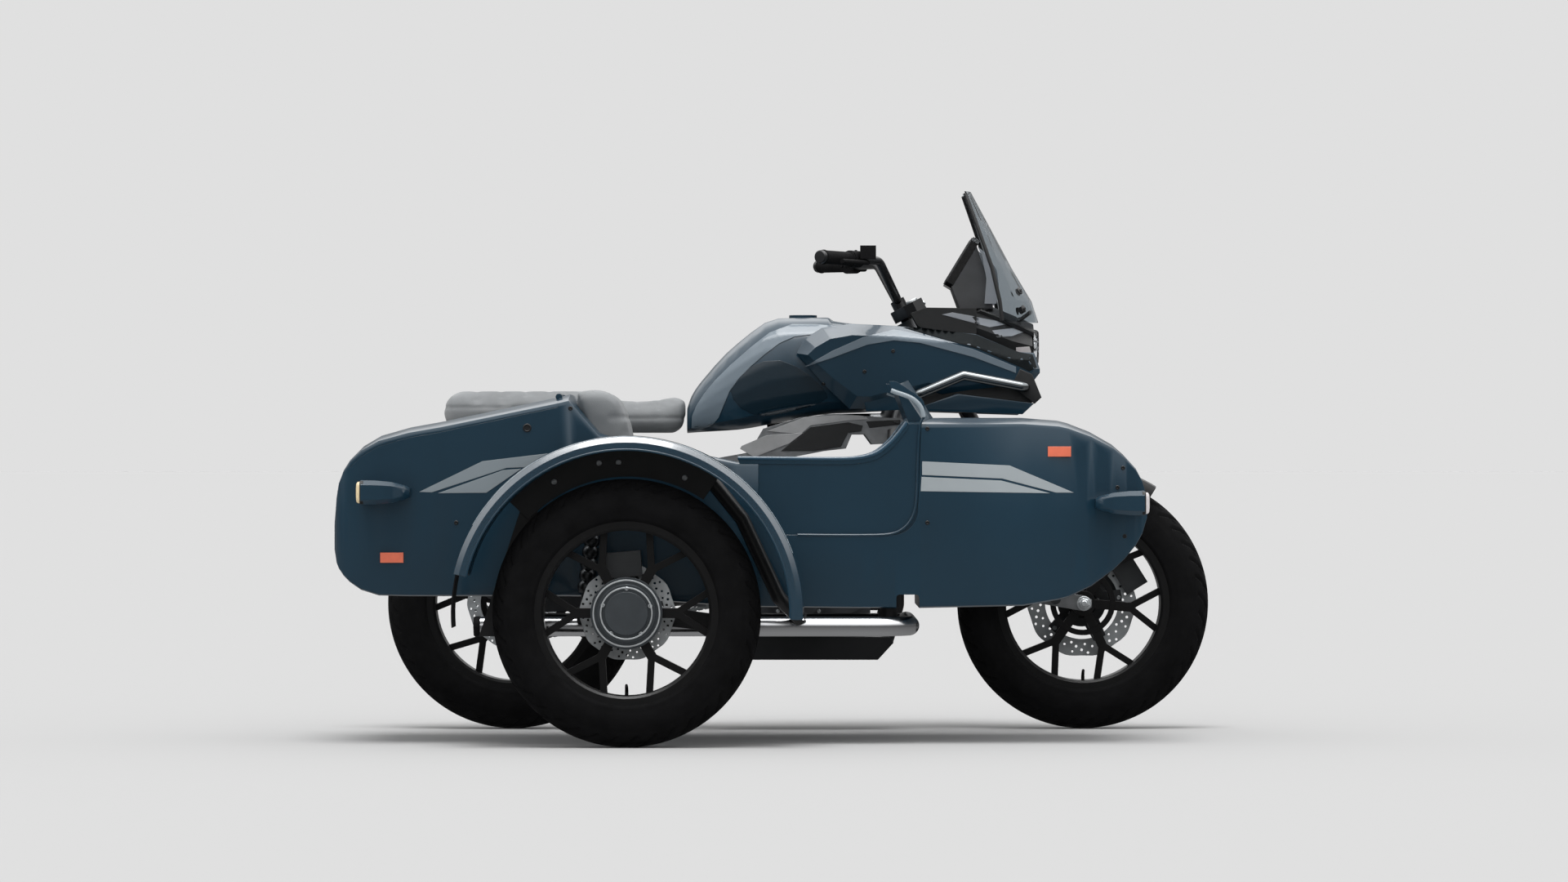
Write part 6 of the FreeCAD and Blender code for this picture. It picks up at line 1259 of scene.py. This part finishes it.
trim_bolts = Form()
for pixel in ((1010, 470), (1060, 455), (1225, 470), (1095, 430)):
    for _, look in bike_sides:
        hit, normal = met(trees["side_shrouds"], from_photo(pixel, shroud_y), look)
        if hit is not None:
            trim_bolts.bolt(hit, normal, 0.0050, 0.0025)
make("trim_bolts", trim_bolts, "frame_black")


# Windshield: its dark edge, mounting screws and the display

screen_low, screen_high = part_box("windshield")
screen_size = screen_high - screen_low
screen_half = screen_size.y / 2
# Each row: height, way back, width and wrap, as in the solid's own rows
screen_row_shares = ((0.0, 0.0, 1.00, 0.62), (0.16, 0.10, 1.00, 0.55), (0.41, 0.39, 0.92, 0.34),
                     (0.75, 0.74, 0.80, 0.20), (1.0, 1.0, 0.62, 0.10))
screen_edge_x = 0.6568
screen_run = 0.174
edge_path = []
for up, back, wide, wrap in screen_row_shares:
    edge_path.append(Vector((screen_edge_x - screen_run * back - screen_half * wrap,
                             bike_y - screen_half * wide * 0.99, screen_low.z + screen_size.z * up)))
edge_path = [edge_path[0].lerp(edge_path[1], 0.05), *edge_path[1:-1], edge_path[-1].lerp(edge_path[-2], 0.07)]
for side, look in bike_sides:
    path = edge_path if look == 1 else [mirrored_y(point, bike_y) for point in edge_path]
    make("screen_edge_" + side, Form().tube(path, 0.0052, 10), "dark_plastic")
screen_tree = surface("windshield")
screen_washer = ((0.010, -0.001), (0.010, 0.001), (0.008, 0.002))
screen_bolts = Form()
for across, up in ((0.62, 0.10), (0.50, 0.24)):
    for side in (-1, 1):
        start = Vector((look_start, bike_y + side * screen_half * across, screen_low.z + screen_size.z * up))
        hit, normal = screen_tree.ray_cast(start, -forward)[:2]
        if hit is not None:
            screen_bolts.turned(screen_washer, hit, normal, 24)
            screen_bolts.bolt(hit + normal * 0.002, normal, 0.005, 0.003)
make("screen_bolts", screen_bolts, "frame_black")

# The display: its slab, bezel and dark glass, on the line that the photograph shows
display_start = Vector((0.417, bike_y, 1.148))
display_end = Vector((0.492, bike_y, 1.271))
display_line = display_end - display_start
display_out = display_line.cross(leftward).normalized()
display_half = 0.082


def display_sheet(name, low, high, half, inner, outer, finish):
    """A plate with clipped corners, in the display's plane, between two distances from it."""
    corners = ((low, -half + 0.08), (low, half - 0.08), (low + 0.07, half), (high - 0.07, half),
               (high, half - 0.08), (high, -half + 0.08), (high - 0.07, -half), (low + 0.07, -half))
    form = Form()
    form.skin([[display_start + display_line * up + leftward * display_half * across + display_out * out
                for up, across in corners] for out in (inner, outer)])
    make(name, form, "dark_plastic", finish)


display_sheet("display_slab", 0.0, 1.0, 1.0, -0.020, 0.0, "display_black")
display_sheet("display_bezel", 0.03, 0.97, 0.96, -0.001, 0.0025, "housing_grey")
display_sheet("display_glass", 0.07, 0.93, 0.90, 0.001, 0.0034, "display_black")


# Handlebar: ribbed grips with end weights, switches, levers' pivots and the bar clamp

# Profiles: radius and way along the bar, from its end inwards
grip_start = ((0.0150, 0.0), (0.0185, 0.001), (0.0190, 0.004), (0.0168, 0.006))
grip_end = ((0.0168, 0.1185), (0.0200, 0.1200), (0.0200, 0.1238), (0.0150, 0.1248))
grip_rib = ((0.0166, 0.0), (0.0174, 0.0012), (0.0174, 0.0040), (0.0166, 0.0052))
grip_ribs = 16
first_rib = 0.010
rib_spacing = 0.0066
grip_profile = list(grip_start)
for rib in range(grip_ribs):
    grip_profile += [(radius, first_rib + rib * rib_spacing + along) for radius, along in grip_rib]
grip_profile += grip_end
weight_profile = ((0.0100, 0.0005), (0.0162, -0.0005), (0.0170, -0.004), (0.0170, -0.012), (0.0150, -0.0150),
                  (0.006, -0.0155))
button_profile = ((0.006, 0.0), (0.0055, 0.006), (0.0042, 0.0072))
pod_along = 0.146
grip_form = Form()
weight_form = Form()
control_form = Form()
for side in (-1, 1):
    bar_end = Vector((0.1009, bike_y + side * 0.4064, 1.2089))
    bar_knee = Vector((0.2470, bike_y + side * 0.1829, 1.2059))
    line = (bar_knee - bar_end).normalized()
    grip_form.turned(grip_profile, bar_end, line, 32)
    weight_form.turned(weight_profile, bar_end, line, 32)
    pod = bar_end + line * pod_along
    ahead = line.cross(upward) * -side
    ahead.x = abs(ahead.x)
    for along in (-0.012, 0.006, 0.016):
        control_form.turned(button_profile, pod + line * along - ahead * 0.018, -ahead, 16)
    control_form.bolt(pod + upward * 0.0215 + line * 0.010, upward, 0.0035, 0.002)
make("grip_ribs", grip_form, "rubber_parts", body="fork")
make("bar_weights", weight_form, "frame_black", body="fork")
make("bar_controls", control_form, "rubber_parts", body="fork")

steer_lean = math.radians(27)
stem_up = Vector((-math.sin(steer_lean), 0, math.cos(steer_lean)))
stem_ahead = Vector((math.cos(steer_lean), 0, math.sin(steer_lean)))
stem_top = Vector((0.313, bike_y, 1.075))
clamp_height = 0.0152
clamp_spacing = 0.207
stem_nut = ((0.016, 0.0), (0.016, 0.006), (0.013, 0.008), (0.010, 0.008), (0.009, 0.004), (0.003, 0.004))
leg_plug = ((0.0155, -0.001), (0.0155, 0.004), (0.013, 0.006), (0.008, 0.006), (0.007, 0.003), (0.002, 0.003))
clamp_bolts = Form()
clamp_bolts.turned(stem_nut, stem_top + stem_up * clamp_height, stem_up, 32)
for side in (-1, 1):
    leg_top = stem_top + stem_ahead * 0.030 + leftward * side * 0.103 + stem_up * clamp_height
    clamp_bolts.turned(leg_plug, leg_top, stem_up, 32)
    for drop in (0.0, clamp_spacing):
        front = stem_top - stem_up * drop + stem_ahead * 0.056 + leftward * side * 0.088
        clamp_bolts.bolt(front, stem_ahead, 0.006, 0.004)
make("clamp_bolts", clamp_bolts, "rotor_steel", body="fork")


# Axle ends, arm pivots and shock eyes

def half_width(node):
    low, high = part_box(node)
    return (high.y - low.y) / 2


def ends_of(form, centre, out, radius, height):
    """A nut on both ends of an axle or a pivot."""
    for side in (-1, 1):
        form.nut(Vector(centre) + leftward * side * out, leftward * side, radius, height)


arm_pivot = (0.428, bike_y, 0.384)
shock_eyes = ((0.700, bike_y, 0.338), (0.590, bike_y, 0.580))
swing_pivot = Vector((rear_centre.x + 0.473, bike_y, 0.345))
fork_ends = Form()
ends_of(fork_ends, front_centre, half_width("leading_arms"), 0.014, 0.011)
ends_of(fork_ends, arm_pivot, half_width("leading_arms"), 0.011, 0.009)
for side in (-1, 1):
    for eye in shock_eyes:
        eye_out = half_width("front_shocks") - 0.019
        fork_ends.nut(Vector(eye) + leftward * side * eye_out, leftward * side, 0.009, 0.007)
make("fork_nuts", fork_ends, "rotor_steel", body="fork")

frame_nuts = Form()
ends_of(frame_nuts, rear_centre, half_width("swingarm"), 0.015, 0.011)
ends_of(frame_nuts, swing_pivot, 0.150, 0.013, 0.010)
bracket_face = side_centre.y + 0.095
for pixel in ((735, 567), (759, 566), (680, 590), (840, 585)):
    spot = from_photo(pixel, bracket_face)
    frame_nuts.bolt(spot - leftward * 0.0002, -leftward, 0.0075, 0.004)
make("frame_nuts", frame_nuts, "rotor_steel")


# Fender: rolled beads along its open edges, and the stay's end cap

arc_steps = 44


def arc_path(centre, radius, start, finish, y):
    """An arc about a wheel's axis, from one angle to another in degrees."""
    angles = [start + (finish - start) * step / arc_steps for step in range(arc_steps + 1)]
    return [off_axis(across_to(centre, y), math.radians(angle), radius) for angle in angles]


fender_half = half_width("sidecar_fender")
fender_beads = Form()
for side in (-1, 1):
    bead_y = side_centre.y + side * (fender_half - 0.0022)
    fender_beads.tube(arc_path(side_centre, 0.396, -1.6, 166.6, bead_y), 0.0032, 10)
make("fender_beads", fender_beads, "body_paint")
# A thin line in a painted highlight colour along the fender's crown
fender_arc = arc_path(side_centre, 0.4266, 20.0, 150.0, side_centre.y - fender_half * 0.70)
make("fender_line", Form().tube(fender_arc, 0.0016, 8), "body_paint", "edge_paint")
rail_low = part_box("sidecar_rail")[0]
rail_end = Vector((rail_low.x, rail_low.y + 0.024, 0.288))
rail_cap = ((0.010, -0.004), (0.0245, 0.0), (0.0252, 0.004), (0.0252, 0.012), (0.022, 0.016), (0.008, 0.017))
make("rail_end_cap", Form().turned(rail_cap, rail_end, -forward, 32), "rubber_parts")

# Mudguard beads: radius of the guard, and the angles where it starts and ends
rear_guard_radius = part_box("rear_mudguard")[1].z - rear_centre.z
guards = (
    ("front", "fork", front_centre, 0.356, 58.6, 162.4),
    ("rear", "chassis", rear_centre, rear_guard_radius, 62.6, 149.4),
)
guard_depth = 0.0335
guard_half = 0.072
for name, body, centre, radius, start, finish in guards:
    guard_form = Form()
    for side in (-1, 1):
        path = arc_path(centre, radius - guard_depth, start, finish, bike_y + side * guard_half)
        guard_form.tube(path, 0.0026, 8)
    make(name + "_guard_beads", guard_form, "dark_plastic", body=body)


# Chain pins and the engine's screws

chain_low, chain_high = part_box("drive_chain")
link_count = 92
front_sprocket_radius = 0.036
chain_out = 0.0063
big_radius = sprocket_radius + chain_out
small_radius = front_sprocket_radius + chain_out
front_sprocket = Vector((swing_pivot.x + 0.062, bike_y, 0.362))
run = front_sprocket - across_to(rear_centre, bike_y)
run_angle = math.atan2(run.z, run.x)
run_lean = math.acos((big_radius - small_radius) / run.length)
straight = math.sqrt(run.length ** 2 - (big_radius - small_radius) ** 2)
big_arc = big_radius * (2 * math.pi - 2 * run_lean)
small_arc = small_radius * 2 * run_lean
chain_length = 2 * straight + big_arc + small_arc
# Where the chain leaves and meets its two wheels, along its lower run and back along the upper one
chain_corners = (
    off_axis(rear_centre, run_angle - run_lean, big_radius),
    off_axis(front_sprocket, run_angle - run_lean, small_radius),
    off_axis(front_sprocket, run_angle + run_lean, small_radius),
    off_axis(rear_centre, run_angle + run_lean, big_radius),
)


def chain_spot(distance):
    """A place on the chain's middle line, at a distance along it."""
    if distance < big_arc:
        return off_axis(rear_centre, run_angle + run_lean + distance / big_radius, big_radius)
    distance -= big_arc
    if distance < straight:
        return chain_corners[0].lerp(chain_corners[1], distance / straight)
    distance -= straight
    if distance < small_arc:
        return off_axis(front_sprocket, run_angle - run_lean + distance / small_radius, small_radius)
    return chain_corners[2].lerp(chain_corners[3], (distance - small_arc) / straight)


pin_steps = ((0.0022, -0.0005), (0.0022, 0.0010), (0.0012, 0.0014))
chain_pins = Form()
for link in range(link_count * 2):
    spot = chain_spot(chain_length * (link / 2 + 0.25) / link_count)
    for side, y in ((-1, chain_low.y), (1, chain_high.y)):
        chain_pins.turned(pin_steps, across_to(spot, y), leftward * side, 8)
make("chain_pins", chain_pins, "rotor_steel")

cover_centre = Vector((0.040, bike_y, 0.360))
cover_screws_out = 0.1692
cover_plug_out = 0.182
plug_steps = ((0.020, -0.001), (0.020, 0.001), (0.016, 0.0025), (0.012, 0.0025), (0.011, 0.001),
              (0.003, 0.001))
engine_screws = Form()
for side in (-1, 1):
    for turn in turns(8):
        spot = off_axis(cover_centre, turn, 0.074, side * cover_screws_out)
        engine_screws.bolt(spot, leftward * side, 0.0052, 0.004)
    engine_screws.turned(plug_steps, cover_centre + leftward * side * cover_plug_out, leftward * side, 32)
make("engine_screws", engine_screws, "rotor_steel")


# Studio: a pale floor that runs into a background of the same grey, under a soft broad lamp.
# Gloss sees a bright ceiling and a dark band at eye height, as in a photo studio.

backdrop_grey = tone(224, 224, 224)
floor_half = 300.0
floor_grey = 0.571

floor_mesh = bpy.data.meshes.new("studio_floor")
floor_corners = [(x * floor_half, y * floor_half, 0) for x, y in ((-1, -1), (1, -1), (1, 1), (-1, 1))]
floor_mesh.from_pydata(floor_corners, [], [(0, 1, 2, 3)])
floor = added("studio_floor", floor_mesh)
floor_finish = Finish("studio_floor", 0.9, 0.0, 0.0)
floor_finish.shader.inputs["Base Color"].default_value = (floor_grey, floor_grey, floor_grey, 1.0)
floor.data.materials.append(floor_finish.material)
floor.visible_glossy = False

world = bpy.data.worlds.new("studio")
bpy.context.scene.world = world
world.use_nodes = True
world_nodes = world.node_tree.nodes
background = world_nodes["Background"]
background.inputs["Color"].default_value = backdrop_grey
background.inputs["Strength"].default_value = 1.0
ceiling = world_nodes.new("ShaderNodeBackground")
ceiling.inputs["Strength"].default_value = 2.2
ceiling_ramp = world_nodes.new("ShaderNodeValToRGB")
# Levels of grey from straight below to straight above
ceiling_levels = ((0.0, 0.16), (0.42, 0.10), (0.52, 0.05), (0.60, 0.14), (0.68, 0.62), (0.80, 1.0),
                  (1.0, 0.9))
for index, (height, level) in enumerate(ceiling_levels):
    stops = ceiling_ramp.color_ramp.elements
    stop = stops[index] if index < 2 else stops.new(height)
    stop.position = height
    stop.color = (level, level, level, 1.0)
direction = world_nodes.new("ShaderNodeTexCoord")
height_part = world_nodes.new("ShaderNodeSeparateXYZ")
height_range = world_nodes.new("ShaderNodeMapRange")
height_range.inputs["From Min"].default_value = -1.0
rays = world_nodes.new("ShaderNodeLightPath")
gloss_only = world_nodes.new("ShaderNodeMath")
gloss_only.operation = "SUBTRACT"
gloss_only.use_clamp = True
mixer = world_nodes.new("ShaderNodeMixShader")
world_links = (
    (direction, "Generated", height_part, "Vector"),
    (height_part, "Z", height_range, "Value"),
    (height_range, "Result", ceiling_ramp, "Fac"),
    (ceiling_ramp, "Color", ceiling, "Color"),
    (rays, "Is Glossy Ray", gloss_only, 0),
    (rays, "Is Transmission Ray", gloss_only, 1),
    (gloss_only, "Value", mixer, "Fac"),
    (background, "Background", mixer, 1),
    (ceiling, "Background", mixer, 2),
    (mixer, "Shader", world_nodes["World Output"], "Surface"),
)
for source, output, target, entry in world_links:
    world.node_tree.links.new(source.outputs[output], target.inputs[entry])

# A broad lamp overhead, and a panel that shows in gloss only, so that it leaves the floor even
key = bpy.data.lights.new("key_lamp", "SUN")
key.energy = 1.8
key.angle = math.radians(32)
key_lamp = added("key_lamp", key)
key_lamp.rotation_euler = Vector((0.02, 0.20, -0.98)).to_track_quat("-Z", "Y").to_euler()
box = bpy.data.lights.new("top_box", "AREA")
box.shape = "RECTANGLE"
box.size = 5.0
box.size_y = 1.2
box.energy = 120
top_box = added("top_box", box)
top_box.location = (0.0, -1.2, 4.0)
top_box.rotation_euler = (Vector((0, 0, 0.6)) - top_box.location).to_track_quat("-Z", "Y").to_euler()
top_box.visible_diffuse = False
top_box.visible_camera = False

camera_data = bpy.data.cameras.new("photo_camera")
camera_data.sensor_width = 36.0
camera_data.lens = 149.6
camera_data.shift_y = 0.0104
camera = added("photo_camera", camera_data)
camera.location = (0.003, camera_y, camera_z)
camera.rotation_euler = (math.radians(90), 0, 0)
bpy.context.scene.camera = camera
bpy.context.scene.view_settings.view_transform = "Standard"
